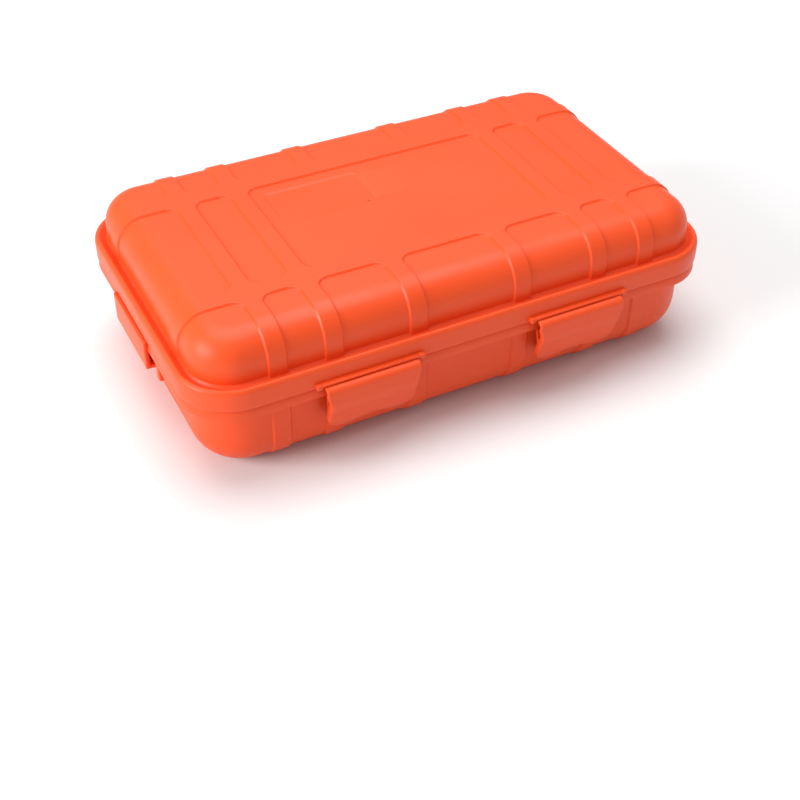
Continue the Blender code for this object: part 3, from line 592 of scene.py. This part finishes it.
def make_latch_mounts():
    work = bmesh.new()
    for centre in (-LATCH_X, LATCH_X):
        for side in (-1, 1):
            near = centre + side * (BARREL_HALF + GAP)
            start, end = sorted((near, near + side * EAR_WIDTH))
            bored_barrel(work, LATCH_Y, LATCH_Z, EAR_RADIUS, LATCH_PIN + 0.05 * MM, start, end,
                         -HALF_Y + 0.8 * MM, 1)
            tip = centre + side * LATCH_WIDTH / 2
            start, end = sorted((tip, tip - side * LEDGE_TIP))
            add_block(work, (start, LEDGE_FRONT, LID_BOTTOM + 0.05 * MM),
                      (end, -HALF_Y + 0.7 * MM, LEDGE_TOP + 0.08 * MM), 0.45 * MM)
        add_block(work, (centre - LATCH_WIDTH / 2 + 0.7 * MM, LEDGE_FRONT + 0.06 * MM, LEDGE_BOTTOM),
                  (centre + LATCH_WIDTH / 2 - 0.7 * MM, -HALF_Y + 0.8 * MM, LEDGE_TOP), 0.2 * MM)
    return finished("latch_mounts", work, "lid", case_plastic, sharp=30)


make_latch_mounts()


# %% Latch pins
def make_steel():
    material, tree, shader = new_material("brushed_steel", (0.60, 0.60, 0.61), 0.32, 1.0)
    grain = noise_at(tree, 700.0, 4.0)
    tree.links.new(value_between(tree, grain, 0.25, 0.42), shader.inputs["Roughness"])
    bumped(tree, shader, noise_at(tree, 3000.0, 2.0), 0.12, 0.02 * MM)
    return material


def make_pin(name, centre, node):
    """A pin along X with chamfered ends, long enough to reach through both ears."""
    work = bmesh.new()
    half = BARREL_HALF + GAP + EAR_WIDTH + 0.2 * MM
    turn = Matrix.Translation((centre, LATCH_Y, LATCH_Z)) @ Matrix.Rotation(math.pi / 2, 4, "Y")
    bmesh.ops.create_cone(work, cap_ends=True, segments=28, radius1=LATCH_PIN, radius2=LATCH_PIN,
                          depth=2 * half, matrix=turn)
    ends = [edge for edge in work.edges if abs(edge.verts[0].co.x - edge.verts[1].co.x) < 1e-6]
    bmesh.ops.bevel(work, geom=ends, offset=0.15 * MM, affect="EDGES", segments=2, profile=0.5,
                    material=-1)
    return finished(name, work, "lid", steel, [node])


steel = make_steel()
make_pin("left_latch_pin_steel", -LATCH_X, "latch_pin_left")
make_pin("right_latch_pin_steel", LATCH_X, "latch_pin_right")
for node in ("hinge_pin_left", "hinge_pin_right"):
    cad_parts[node].data.materials.clear()
    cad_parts[node].data.materials.append(steel)


# %% [markdown]
# ## The latches
#
# A latch is a barrel round the pin with a plate that wraps down over the lip, curls in to a thumb
# tab with two lobes, and carries a hooked leaf inside that snaps under the lip. The plate starts as
# a flat grid. Its rows follow the latch's side view and its columns follow the front view, so the
# same grid gives the roll, the crease, the narrow shoulders and the wavy lower edge. A second copy
# set inwards and joined at the rim gives it its wall.

# %% The latch's side view
SHOULDER = LATCH_WIDTH / 2 - LEDGE_TIP - 0.25 * MM
TAB_HALF = SHOULDER - 0.9 * MM
ROLL = 1.75 * MM
TAB_FOOT = 14.7 * MM
LOBE_RISE = 1.8 * MM
SIDE_VIEW = [(ROLL * math.cos(t), ROLL * math.sin(t)) for t in
             [math.radians(118 - 118 * k / 9) for k in range(10)]]
SIDE_VIEW += [(1.80 * MM, -1.6 * MM), (1.82 * MM, -3.2 * MM), (1.66 * MM, -4.6 * MM),
              (1.22 * MM, -5.9 * MM), (0.62 * MM, -6.9 * MM), (0.28 * MM, -7.9 * MM),
              (-0.02 * MM, -9.3 * MM), (-0.50 * MM, -11.0 * MM), (-1.20 * MM, -12.8 * MM),
              (-2.10 * MM, -TAB_FOOT)]


def side_view(share):
    """The point at a share of the side view's length, as (out, up) from the latch's axis."""
    lengths = [math.dist(a, b) for a, b in zip(SIDE_VIEW, SIDE_VIEW[1:])]
    left = share * sum(lengths)
    for (first, second), length in zip(zip(SIDE_VIEW, SIDE_VIEW[1:]), lengths):
        if left <= length:
            part = left / length
            return [a + (b - a) * part for a, b in zip(first, second)]
        left -= length
    return list(SIDE_VIEW[-1])


# %% The latch's front view
PATH_LENGTH = sum(math.dist(a, b) for a, b in zip(SIDE_VIEW, SIDE_VIEW[1:]))


def reach(across):
    """How much of the side view a column uses: full in the two lobes, less between and at the corners."""
    side = abs(across)
    notch = LOBE_RISE * (1 - smooth_step(0.16, 0.52, side))
    corner = max(side - 0.6, 0.0) / 0.4
    rounded = 5.2 * MM * (1 - math.sqrt(max(1 - 0.97 * corner ** 2.2, 0.0)))
    return 1 - (notch + rounded) / PATH_LENGTH


def half_width(up):
    """The plate's half width: the full roll at the top, then narrow shoulders."""
    return SHOULDER - (SHOULDER - TAB_HALF) * smooth_step(0.4 * MM, 4.2 * MM, -up)


def plate_thickness(up):
    return 0.6 * MM + 1.0 * MM * smooth_step(-1.0 * MM, 3.0 * MM, -up)


# %% Make one latch
COLUMNS, ROWS = 56, 54
ROUNDED_RIM = 0.28 * MM


def latch_plate(work, centre):
    grid = bmesh.ops.create_grid(work, x_segments=COLUMNS, y_segments=ROWS, size=1.0)["verts"]
    for vertex in grid:
        across = vertex.co.x + 0.1 * math.sin(vertex.co.x * math.pi)
        out, up = side_view((1 - vertex.co.y) / 2 * reach(across))
        vertex.co = (centre + across * half_width(up), LATCH_Y - out, LATCH_Z + up)
    for _ in range(2):
        inside = [vertex for vertex in grid if not vertex.is_boundary]
        bmesh.ops.smooth_vert(work, verts=inside, factor=0.5, use_axis_x=True, use_axis_y=True,
                              use_axis_z=True)
    work.normal_update()
    if sum(vertex.normal.y for vertex in grid) > 0:
        bmesh.ops.reverse_faces(work, faces=work.faces[:])
        work.normal_update()
    outside = work.faces[:]
    copied = bmesh.ops.duplicate(work, geom=outside + list(grid) + work.edges[:])
    twins = {old: new for old, new in copied["vert_map"].items() if old in set(grid)}
    for old, new in twins.items():
        back = Vector((0.0, old.normal.y, old.normal.z)).normalized()
        new.co = old.co - back * plate_thickness(old.co.z - LATCH_Z)
    for vertex in [vertex for vertex in grid if vertex.is_boundary]:
        vertex.co -= Vector((0.0, vertex.normal.y, vertex.normal.z)).normalized() * ROUNDED_RIM
    walled(work, twins)


HOOK = [(0.7 * MM, 9.4 * MM), (1.9 * MM, 7.5 * MM), (2.7 * MM, 5.1 * MM), (3.2 * MM, 3.1 * MM),
        (2.25 * MM, 3.05 * MM), (1.75 * MM, 4.4 * MM), (1.1 * MM, 6.2 * MM), (0.5 * MM, 7.9 * MM)]


def make_latch(name, centre, body, node):
    work = bmesh.new()
    latch_plate(work, centre)
    bored_barrel(work, LATCH_Y, LATCH_Z, BARREL_RADIUS, LATCH_PIN + 0.15 * MM,
                 centre - BARREL_HALF, centre + BARREL_HALF)
    hook = [work.verts.new((centre - TAB_HALF + 0.5 * MM, LATCH_Y + inward, LATCH_Z - down))
            for inward, down in HOOK]
    pushed = bmesh.ops.extrude_face_region(work, geom=[work.faces.new(hook)])["geom"]
    moved = [item for item in pushed if isinstance(item, bmesh.types.BMVert)]
    bmesh.ops.translate(work, verts=moved, vec=(2 * TAB_HALF - 1.0 * MM, 0.0, 0.0))
    return finished(name, work, body, case_plastic, [node], sharp=55)


make_latch("left_latch_flap", -LATCH_X, "left_latch", "latch_left")
make_latch("right_latch_flap", LATCH_X, "right_latch", "latch_right")


# %% [markdown]
# ## The lanyard lug
#
# On the left end a flat strap stands off the wall below the lip, closed at the bottom and open in
# front, with a short post beyond the opening, so that a cord can run through it. The strap is drawn
# as an L in section and pushed along the end wall. Its inner edges are then spread, so that it
# flares where it meets the wall.

# %% Lug
LUG_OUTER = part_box("base_shell")[0].x
LUG_BACK, LUG_FRONT, POST_FRONT = 17.5 * MM, -9.5 * MM, -17.5 * MM
POST_WIDTH = 2.6 * MM
LUG_FLARE = 3.0 * MM
LUG_BOTTOM = SEAM - 9.9 * MM
LUG_WALL = 1.4 * MM


def make_lug():
    work = bmesh.new()
    inside = -BASE_HALF_X + 1.0 * MM
    top = SEAM - 0.6 * MM
    section = [(LUG_OUTER, top), (LUG_OUTER, LUG_BOTTOM), (inside, LUG_BOTTOM),
               (inside, LUG_BOTTOM + LUG_WALL), (LUG_OUTER + LUG_WALL, LUG_BOTTOM + LUG_WALL),
               (LUG_OUTER + LUG_WALL, top)]
    start = work.faces.new([work.verts.new((x, LUG_FRONT, z)) for x, z in section])
    pushed = bmesh.ops.extrude_face_region(work, geom=[start])["geom"]
    moved = [item for item in pushed if isinstance(item, bmesh.types.BMVert)]
    bmesh.ops.translate(work, verts=moved, vec=(0.0, LUG_BACK - LUG_FRONT, 0.0))
    bmesh.ops.recalc_face_normals(work, faces=work.faces[:])
    for vertex in moved:
        vertex.co.y += LUG_FLARE * (vertex.co.x - LUG_OUTER) / (inside - LUG_OUTER)
    bmesh.ops.bevel(work, geom=work.edges[:], offset=0.4 * MM, affect="EDGES", segments=3,
                    profile=0.5, material=-1)
    add_block(work, (LUG_OUTER + 1.2 * MM, POST_FRONT, LUG_BOTTOM + 1.0 * MM),
              (inside, POST_FRONT + POST_WIDTH, LIP_BOTTOM + 0.4 * MM), 0.5 * MM)
    return finished("lanyard_lug", work, "base", case_plastic)


make_lug()


# %% [markdown]
# ## The seal
#
# A soft silicone ring sits in the lid's channel. Ten outlines lofted into each other and back to
# the first make a closed ring, and its lower face has a shallow hollow where the tongue presses.

# %% Silicone and the seal
def make_silicone():
    material, tree, shader = new_material("clear_grey_silicone", (0.62, 0.62, 0.60), 0.38)
    clouds = noise_at(tree, 160.0, 3.0)
    tree.links.new(colour_between(tree, clouds, (0.58, 0.58, 0.56), (0.66, 0.66, 0.64)),
                   shader.inputs["Base Color"])
    shader.inputs["Subsurface Weight"].default_value = 0.15
    shader.inputs["Subsurface Radius"].default_value = (0.001, 0.001, 0.001)
    bumped(tree, shader, noise_at(tree, 900.0, 2.0), 0.1, 0.04 * MM)
    return material


def make_seal():
    low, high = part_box("lid_gasket")
    outer, inner = HALF_X - high.x, HALF_X - high.x + 1.8 * MM
    edge = 0.25 * MM
    middle = (outer + inner) / 2
    section = [(outer + edge, low.z), (outer, low.z + edge), (outer, high.z - edge),
               (outer + edge, high.z), (inner - edge, high.z), (inner, high.z - edge),
               (inner, low.z + edge), (inner - edge, low.z), (middle + edge, low.z + edge),
               (middle - edge, low.z + edge)]
    work = bmesh.new()
    loft(work, [from_rim(*point) for point in section], closed=True)
    return finished("silicone_seal", work, "lid", silicone, ["lid_gasket"])


silicone = make_silicone()
make_seal()


# %% [markdown]
# ## Soft packets
#
# Most of what is inside lies in sealed packets: two webs of film or paper, welded flat round the edge
# and puffed up by what is between them. Each starts as a flat grid. The height of a point depends on
# how far it is from the weld, with a few seeded creases, and the second web is the first one mirrored
# and joined to it at the rim. A cloth simulation could puff them too, but packets this thin would
# only touch their neighbours, so the shape is set and stays inside its own space.

# %% A sealed packet
RIM_RISE = 0.10
FULLEST = 0.97
PUCKER = 0.16
WRINKLE = 0.14
FOLD_DEPTH = 0.16
FOLD_SHARPNESS = 14
PINKING = 0.008
PINKING_WAVES = 9000
WELD_FLAT = 0.45
SLOPE = 2.6
FINE_WRINKLES, BROAD_WRINKLES = 190, 60


def packet(name, node, thin, material, weld, seed, puff=0.78, creases=0.5, fold_lines=(),
           columns=40, rows=40):
    low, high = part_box(node)
    centre, half = (low + high) / 2, (high - low) / 2
    flat = [axis for axis in range(3) if axis != thin]
    half_u, half_v, half_w = half[flat[0]], half[flat[1]], half[thin]
    work = bmesh.new()
    grid = bmesh.ops.create_grid(work, x_segments=columns, y_segments=rows, size=1.0)["verts"]
    for vertex in grid:
        u, v = vertex.co.x * half_u, vertex.co.y * half_v
        inward = min(half_u - abs(u), half_v - abs(v))
        rise = smooth_step(weld * WELD_FLAT, weld * WELD_FLAT + SLOPE * half_w, inward) * puff
        pucker = noise(Vector((u * FINE_WRINKLES + seed, v * FINE_WRINKLES, seed * 3.1))) * creases
        broad = noise(Vector((u * BROAD_WRINKLES, v * BROAD_WRINKLES + seed, seed * 1.7))) * creases
        fold = sum(FOLD_DEPTH * math.exp(-((v / half_v - line) * FOLD_SHARPNESS) ** 2) for line in fold_lines)
        height = RIM_RISE + rise * (1 + PUCKER * pucker + WRINKLE * broad) - rise * fold
        edge = PINKING * math.sin(v * PINKING_WAVES) * half_u if inward < weld * 0.1 else 0.0
        vertex.co = Vector((u - math.copysign(abs(edge), u), v, half_w * min(height, FULLEST)))
    copied = bmesh.ops.duplicate(work, geom=work.faces[:] + work.edges[:] + list(grid))
    twins = {old: new for old, new in copied["vert_map"].items() if old in set(grid)}
    for old, new in twins.items():
        new.co.z = -old.co.z
    walled(work, twins)
    for vertex in work.verts:
        u, v, w = vertex.co
        offset = [0.0, 0.0, 0.0]
        offset[flat[0]], offset[flat[1]], offset[thin] = u, v, w
        vertex.co = centre + Vector(offset)
    piece = finished(name, work, "base", material, [node], sharp=60)
    return piece


# %% [markdown]
# ## Packet finishes
#
# Film, foil, paper and cloth differ mostly in gloss and in the size of their bump: foil has hard
# metallic creases, sachet paper a fine fibre, film a soft bump from what lies under it, and cloth a
# weave. Each is a small tree of noise and wave textures on Object coordinates.

# %% Bands, waves and sums
def banded(tree, axis, start, end, color, band_color):
    """A plain colour with one printed band between two places along an axis."""
    place = tree.nodes.new("ShaderNodeSeparateXYZ")
    tree.links.new(tree.nodes.new("ShaderNodeTexCoord").outputs["Object"], place.inputs["Vector"])
    above = tree.nodes.new("ShaderNodeMath")
    above.operation = "COMPARE"
    above.inputs[1].default_value = (start + end) / 2
    above.inputs[2].default_value = abs(end - start) / 2
    tree.links.new(place.outputs["XYZ"[axis]], above.inputs[0])
    return colour_between(tree, above.outputs["Value"], color, band_color, 0.4, 0.6)


def waves_at(tree, scale, direction, distortion=0.0):
    wave = tree.nodes.new("ShaderNodeTexWave")
    wave.inputs["Scale"].default_value = scale
    wave.inputs["Distortion"].default_value = distortion
    wave.bands_direction = direction
    tree.links.new(tree.nodes.new("ShaderNodeTexCoord").outputs["Object"], wave.inputs["Vector"])
    return wave.outputs["Fac"]


def together(tree, first, second, operation="ADD"):
    both = tree.nodes.new("ShaderNodeMath")
    both.operation = operation
    tree.links.new(first, both.inputs[0])
    tree.links.new(second, both.inputs[1])
    return both.outputs["Value"]


# %% Paper, film, cloth and foil
def paper_sachet(name, color, band_color, axis, start, end):
    material, tree, shader = new_material(name, color, 0.62)
    tree.links.new(banded(tree, axis, start, end, color, band_color), shader.inputs["Base Color"])
    tree.links.new(value_between(tree, noise_at(tree, 300.0), 0.55, 0.72), shader.inputs["Roughness"])
    bumped(tree, shader, noise_at(tree, 1500.0, 5.0), 0.3, 0.06 * MM)
    return material


def film_over(name, color, shade, roughness, grain, bump):
    """Glossy film with something soft or creased just under it."""
    material, tree, shader = new_material(name, color, roughness)
    tree.links.new(colour_between(tree, noise_at(tree, 90.0, 4.0), color, shade),
                   shader.inputs["Base Color"])
    shader.inputs["Coat Weight"].default_value = 0.6
    shader.inputs["Coat Roughness"].default_value = 0.12
    bumped(tree, shader, noise_at(tree, grain, 3.0), bump, 0.25 * MM)
    return material


def woven(name, color, shade, threads, bump, roughness=0.85):
    """Cloth: two crossed waves of threads, with an uneven colour."""
    material, tree, shader = new_material(name, color, roughness)
    tree.links.new(colour_between(tree, noise_at(tree, 140.0, 4.0), color, shade),
                   shader.inputs["Base Color"])
    shader.inputs["Sheen Weight"].default_value = 0.25
    weave = together(tree, waves_at(tree, threads, "Y", 0.6),
                     waves_at(tree, threads, "DIAGONAL", 0.8), "MULTIPLY")
    bumped(tree, shader, together(tree, weave, noise_at(tree, 900.0, 3.0)), bump, 0.12 * MM)
    return material


def creased_foil():
    material, tree, shader = new_material("gold_rescue_foil", (0.90, 0.66, 0.26), 0.24, 1.0)
    tree.links.new(colour_between(tree, noise_at(tree, 120.0, 4.0), (0.92, 0.68, 0.28), (0.84, 0.58, 0.20)),
                   shader.inputs["Base Color"])
    crease = tree.nodes.new("ShaderNodeTexVoronoi")
    crease.feature = "DISTANCE_TO_EDGE"
    crease.inputs["Scale"].default_value = 210.0
    tree.links.new(tree.nodes.new("ShaderNodeTexCoord").outputs["Object"], crease.inputs["Vector"])
    height = together(tree, crease.outputs["Distance"], noise_at(tree, 260.0, 5.0))
    bumped(tree, shader, height, 0.7, 0.5 * MM)
    return material


gauze_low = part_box("gauze_sachet_4")[0]
wipe_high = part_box("wipe_sachet_1")[1]
calico_film = film_over("calico_in_film", (0.56, 0.53, 0.45), (0.46, 0.43, 0.36), 0.45, 520.0, 0.35)
glove_film = film_over("gloves_in_film", (0.08, 0.22, 0.42), (0.14, 0.31, 0.52), 0.35, 240.0, 0.6)
dressing_film = film_over("dressing_pouch", (0.54, 0.57, 0.60), (0.44, 0.48, 0.53), 0.5, 420.0, 0.4)
rescue_foil = creased_foil()
gauze_paper = paper_sachet("gauze_sachet_paper", (0.56, 0.58, 0.59), (0.05, 0.30, 0.29), 1,
                           gauze_low.y + 5 * MM, gauze_low.y + 13 * MM)
wipe_paper = paper_sachet("wipe_sachet_film", (0.45, 0.56, 0.52), (0.06, 0.33, 0.26), 2,
                          wipe_high.z - 8 * MM, wipe_high.z - 3 * MM)
plaster_paper = paper_sachet("plaster_wrap_paper", (0.58, 0.55, 0.50), (0.46, 0.24, 0.13), 2, 7 * MM, 16 * MM)

# %% Fill the left of the case
packet("folded_triangular_bandage", "triangular_bandage", 2, calico_film, 5 * MM, 3,
       puff=0.95, creases=0.8, fold_lines=(-0.5, 0.0, 0.5))
packet("folded_foil_blanket", "foil_blanket", 2, rescue_foil, 4 * MM, 11,
       puff=0.95, creases=1.0, fold_lines=(-0.33, 0.33), columns=60, rows=60)
packet("nitrile_glove_packet", "glove_packet", 2, glove_film, 5 * MM, 19,
       puff=0.92, creases=1.2)
for index in range(1, 5):
    packet(f"gauze_packet_{index}", f"gauze_sachet_{index}", 2, gauze_paper, 5 * MM,
           20 + index, puff=0.9, creases=0.9, columns=30, rows=30)
    packet(f"plaster_packet_{index}", f"plaster_{index}", 0, plaster_paper, 3 * MM,
           30 + index, puff=0.9, creases=0.7, columns=24, rows=24)
    packet(f"wipe_packet_{index}", f"wipe_sachet_{index}", 1, wipe_paper, 4 * MM,
           40 + index, puff=0.9, creases=0.9, columns=30, rows=24)
packet("wound_dressing_pouch", "wound_dressing", 2, dressing_film, 2.5 * MM, 52,
       puff=0.95, creases=0.8, rows=60)


# %% [markdown]
# ## The leaflet
#
# The first aid leaflet is one sheet of paper folded in four. Four thin leaves are joined in turn at
# the left and at the right, which is what a zigzag fold looks like from its edge.

# %% Folded leaflet
def make_paper():
    material, tree, shader = new_material("leaflet_paper", (0.58, 0.58, 0.55), 0.7)
    tree.links.new(colour_between(tree, noise_at(tree, 60.0), (0.60, 0.60, 0.57), (0.52, 0.52, 0.49)),
                   shader.inputs["Base Color"])
    bumped(tree, shader, noise_at(tree, 1800.0, 5.0), 0.2, 0.04 * MM)
    return material


def make_leaflet():
    """Four leaves, each a little smaller than the one below, with a thin fold at alternate sides."""
    low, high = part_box("first_aid_leaflet")
    leaves, leaf, fold = 4, 0.14 * MM, 0.15 * MM
    pitch = (high.z - low.z - leaf) / (leaves - 1)
    work = bmesh.new()
    for index in range(leaves):
        inset = 0.35 * MM * index
        add_block(work, (low.x + inset, low.y + inset, low.z + index * pitch),
                  (high.x - inset * 0.6, high.y - inset, low.z + index * pitch + leaf), 0.05 * MM, 1)
    for index in range(leaves - 1):
        side = high.x - 0.9 * MM if index % 2 else low.x + 1.2 * MM
        bottom = low.z + index * pitch + 0.5 * leaf
        add_block(work, (side - fold, low.y + 1.2 * MM, bottom),
                  (side + fold, high.y - 1.2 * MM, bottom + pitch), 0.04 * MM, 1)
    return finished("folded_leaflet", work, "base", leaflet_paper, ["first_aid_leaflet"])


leaflet_paper = make_paper()
make_leaflet()


# %% [markdown]
# ## Rolls
#
# A bandage roll is a long strip wound on itself. Winding it for real would take many thin layers, so
# the roll is spun from a section whose ends carry a small step for each turn. After spinning, the
# radius shrinks a little with the angle, which turns the rings into a spiral and leaves a step where
# the loose end lies.

# %% Spin a roll
def spun_roll(name, node, material, hole=0.0, turns=8, slack=0.35, edge=0.7, seed=1, steps=96):
    low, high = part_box(node)
    centre = (low + high) / 2
    radius, half = (high.x - low.x) / 2 - 0.02 * MM, (high.y - low.y) / 2
    inner = hole / 2 if hole else 0.9 * MM
    section = []
    pitch = (radius - inner) / turns
    for turn in range(turns):
        start = inner + turn * pitch
        dip = 0.22 * MM if turn % 2 else 0.05 * MM
        section += [(start + 0.15 * pitch, -half + dip + 0.25 * MM), (start + 0.35 * pitch, -half + dip),
                    (start + 0.8 * pitch, -half + dip)]
    section += [(radius - 0.15 * edge * MM, -half + 0.45 * edge * MM), (radius, -half + edge * MM)]
    rows = 14
    section += [(radius, -half + edge * MM + (2 * half - 2 * edge * MM) * k / rows) for k in range(1, rows)]
    section += [(r, -y) for r, y in reversed(section[:3 * turns + 2])]
    work = bmesh.new()
    verts = [work.verts.new((r, y, 0.0)) for r, y in section]
    edges = [work.edges.new(pair) for pair in zip(verts, verts[1:] + verts[:1])]
    bmesh.ops.spin(work, geom=verts + edges, cent=(0, 0, 0), axis=(0, 1, 0), angle=2 * math.pi,
                   steps=steps, use_merge=True)
    for vertex in work.verts:
        x, y, z = vertex.co
        angle = (math.atan2(z, x) + math.pi * 1.2) % (2 * math.pi)
        share = math.hypot(x, z) / radius
        shrink = slack * MM * smooth_step(0.25, 1.0, share) * angle / (2 * math.pi)
        wobble = 0.10 * MM * noise(Vector((x * 150, y * 150 + seed, z * 150))) * slack / 0.35
        factor = 1 - (shrink + abs(wobble)) / (share * radius)
        vertex.co = centre + Vector((x * factor, y, z * factor))
    return finished(name, work, "base", material, [node], sharp=50)


crepe = woven("crepe_bandage", (0.55, 0.43, 0.29), (0.44, 0.33, 0.20), 620.0, 0.75)
gauze_cloth = woven("white_gauze_bandage", (0.58, 0.58, 0.55), (0.46, 0.46, 0.43), 760.0, 0.6)
tape_cloth = woven("zinc_tape", (0.60, 0.53, 0.43), (0.50, 0.44, 0.34), 1200.0, 0.3, 0.55)
cardboard = woven("tape_core_card", (0.42, 0.28, 0.17), (0.36, 0.23, 0.13), 300.0, 0.35, 0.9)
spun_roll("crepe_bandage_roll", "bandage_roll_large", crepe, turns=11, slack=0.6, seed=2)
spun_roll("gauze_bandage_roll", "bandage_roll_small", gauze_cloth, turns=10, slack=0.5,
                    seed=7)
core_low, core_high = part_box("tape_core")
CORE_WIDTH = core_high.x - core_low.x
spun_roll("zinc_tape_roll", "tape_roll", tape_cloth, hole=CORE_WIDTH + 2 * GAP, turns=5, slack=0.15,
          edge=0.2, seed=4)
spun_roll("tape_roll_core", "tape_core", cardboard, hole=CORE_WIDTH - 3.0 * MM, turns=1,
          slack=0.02, edge=0.2, seed=5)


# %% [markdown]
# ## Saline ampoule and tweezers
#
# The ampoule is blown in one piece of clear plastic, so it is one spun outline: a round foot, a
# straight body, a shoulder and a flat twist-off tab, which is the top of the same spin squeezed
# flat. The tweezers are the working part's own piece and only need their steel.

# %% Ampoule
def make_clear_plastic():
    material, tree, shader = new_material("clear_ampoule_plastic", (0.86, 0.93, 0.96), 0.16)
    shader.inputs["Transmission Weight"].default_value = 0.75
    shader.inputs["IOR"].default_value = 1.4
    tree.links.new(value_between(tree, noise_at(tree, 220.0), 0.12, 0.22), shader.inputs["Roughness"])
    return material


def make_ampoule():
    low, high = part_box("saline_ampoule")
    centre = (low + high) / 2
    radius, tall = (high.x - low.x) / 2 - 0.02 * MM, high.z - low.z
    section = [(0.0, 0.0), (0.75 * radius, 0.0), (0.93 * radius, 0.02 * tall), (radius, 0.06 * tall),
               (radius, 0.3 * tall), (radius, 0.58 * tall), (0.95 * radius, 0.63 * tall),
               (0.75 * radius, 0.68 * tall), (0.45 * radius, 0.72 * tall), (0.3 * radius, 0.75 * tall),
               (0.28 * radius, 0.78 * tall), (0.55 * radius, 0.81 * tall), (0.8 * radius, 0.84 * tall),
               (0.85 * radius, 0.9 * tall), (0.8 * radius, 0.96 * tall), (0.6 * radius, tall), (0.0, tall)]
    work = bmesh.new()
    verts = [work.verts.new((r, 0.0, z)) for r, z in section]
    edges = [work.edges.new(pair) for pair in zip(verts, verts[1:])]
    bmesh.ops.spin(work, geom=verts + edges, cent=(0, 0, 0), axis=(0, 0, 1), angle=2 * math.pi,
                   steps=48, use_merge=True)
    for vertex in work.verts:
        flat = 1 - 0.72 * smooth_step(0.77 * tall, 0.83 * tall, vertex.co.z)
        vertex.co = Vector((centre.x + vertex.co.x, centre.y + vertex.co.y * flat, low.z + vertex.co.z))
    return finished("saline_twist_ampoule", work, "base", clear_plastic, ["saline_ampoule"])


clear_plastic = make_clear_plastic()
make_ampoule()
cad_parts["tweezers"].data.materials.clear()
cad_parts["tweezers"].data.materials.append(steel)


# %% Floor
def make_floor():
    work = bmesh.new()
    bmesh.ops.create_grid(work, x_segments=1, y_segments=1, size=3.0)
    mesh = bpy.data.meshes.new("studio_floor")
    work.to_mesh(mesh)
    work.free()
    floor = bpy.data.objects.new("studio_floor", mesh)
    bpy.context.scene.collection.objects.link(floor)
    mesh.materials.append(new_material("white_studio_paper", (0.78, 0.78, 0.78), 0.9)[0])


make_floor()

# %% Light
def area_light(name, place, size, power, target=(0.0, 0.0, 0.02)):
    data = bpy.data.lights.new(name, "AREA")
    data.shape = "DISK"
    data.size = size
    data.energy = power
    lamp = bpy.data.objects.new(name, data)
    bpy.context.scene.collection.objects.link(lamp)
    lamp.location = place
    lamp.rotation_mode = "QUATERNION"
    lamp.rotation_quaternion = (Vector(target) - Vector(place)).to_track_quat("-Z", "Y")


area_light("key_light", (-1.05, 0.0, 0.48), 0.6, 11.5)
area_light("top_light", (0.10, 0.30, 1.1), 1.2, 12.5)
world = bpy.data.worlds.new("studio")
world.use_nodes = True
world.node_tree.nodes["Background"].inputs["Color"].default_value = (1.0, 1.0, 1.0, 1.0)
world.node_tree.nodes["Background"].inputs["Strength"].default_value = 0.46
bpy.context.scene.world = world
bpy.context.scene.view_settings.view_transform = "Standard"

# %% Camera
CAMERA_PLACE = Vector((-0.1509, -0.2946, 0.2510))
CAMERA_AZIMUTH = math.radians(-27.383)
CAMERA_ELEVATION = math.radians(40.654)
CAMERA_ROLL = math.radians(0.625)


def make_camera():
    data = bpy.data.cameras.new("product_camera")
    data.sensor_width = 36.0
    data.lens = 58.95
    data.clip_start = 0.01
    camera = bpy.data.objects.new("product_camera", data)
    bpy.context.scene.collection.objects.link(camera)
    level = math.cos(CAMERA_ELEVATION)
    back = Vector((math.sin(CAMERA_AZIMUTH) * level, -math.cos(CAMERA_AZIMUTH) * level,
                   math.sin(CAMERA_ELEVATION)))
    right = Vector((0, 0, 1)).cross(back).normalized()
    above = back.cross(right)
    turn = Matrix.Rotation(CAMERA_ROLL, 4, back)
    camera.matrix_world = Matrix.Translation(CAMERA_PLACE) @ turn @ Matrix(
        (right, above, back)).transposed().to_4x4()
    bpy.context.scene.camera = camera


make_camera()
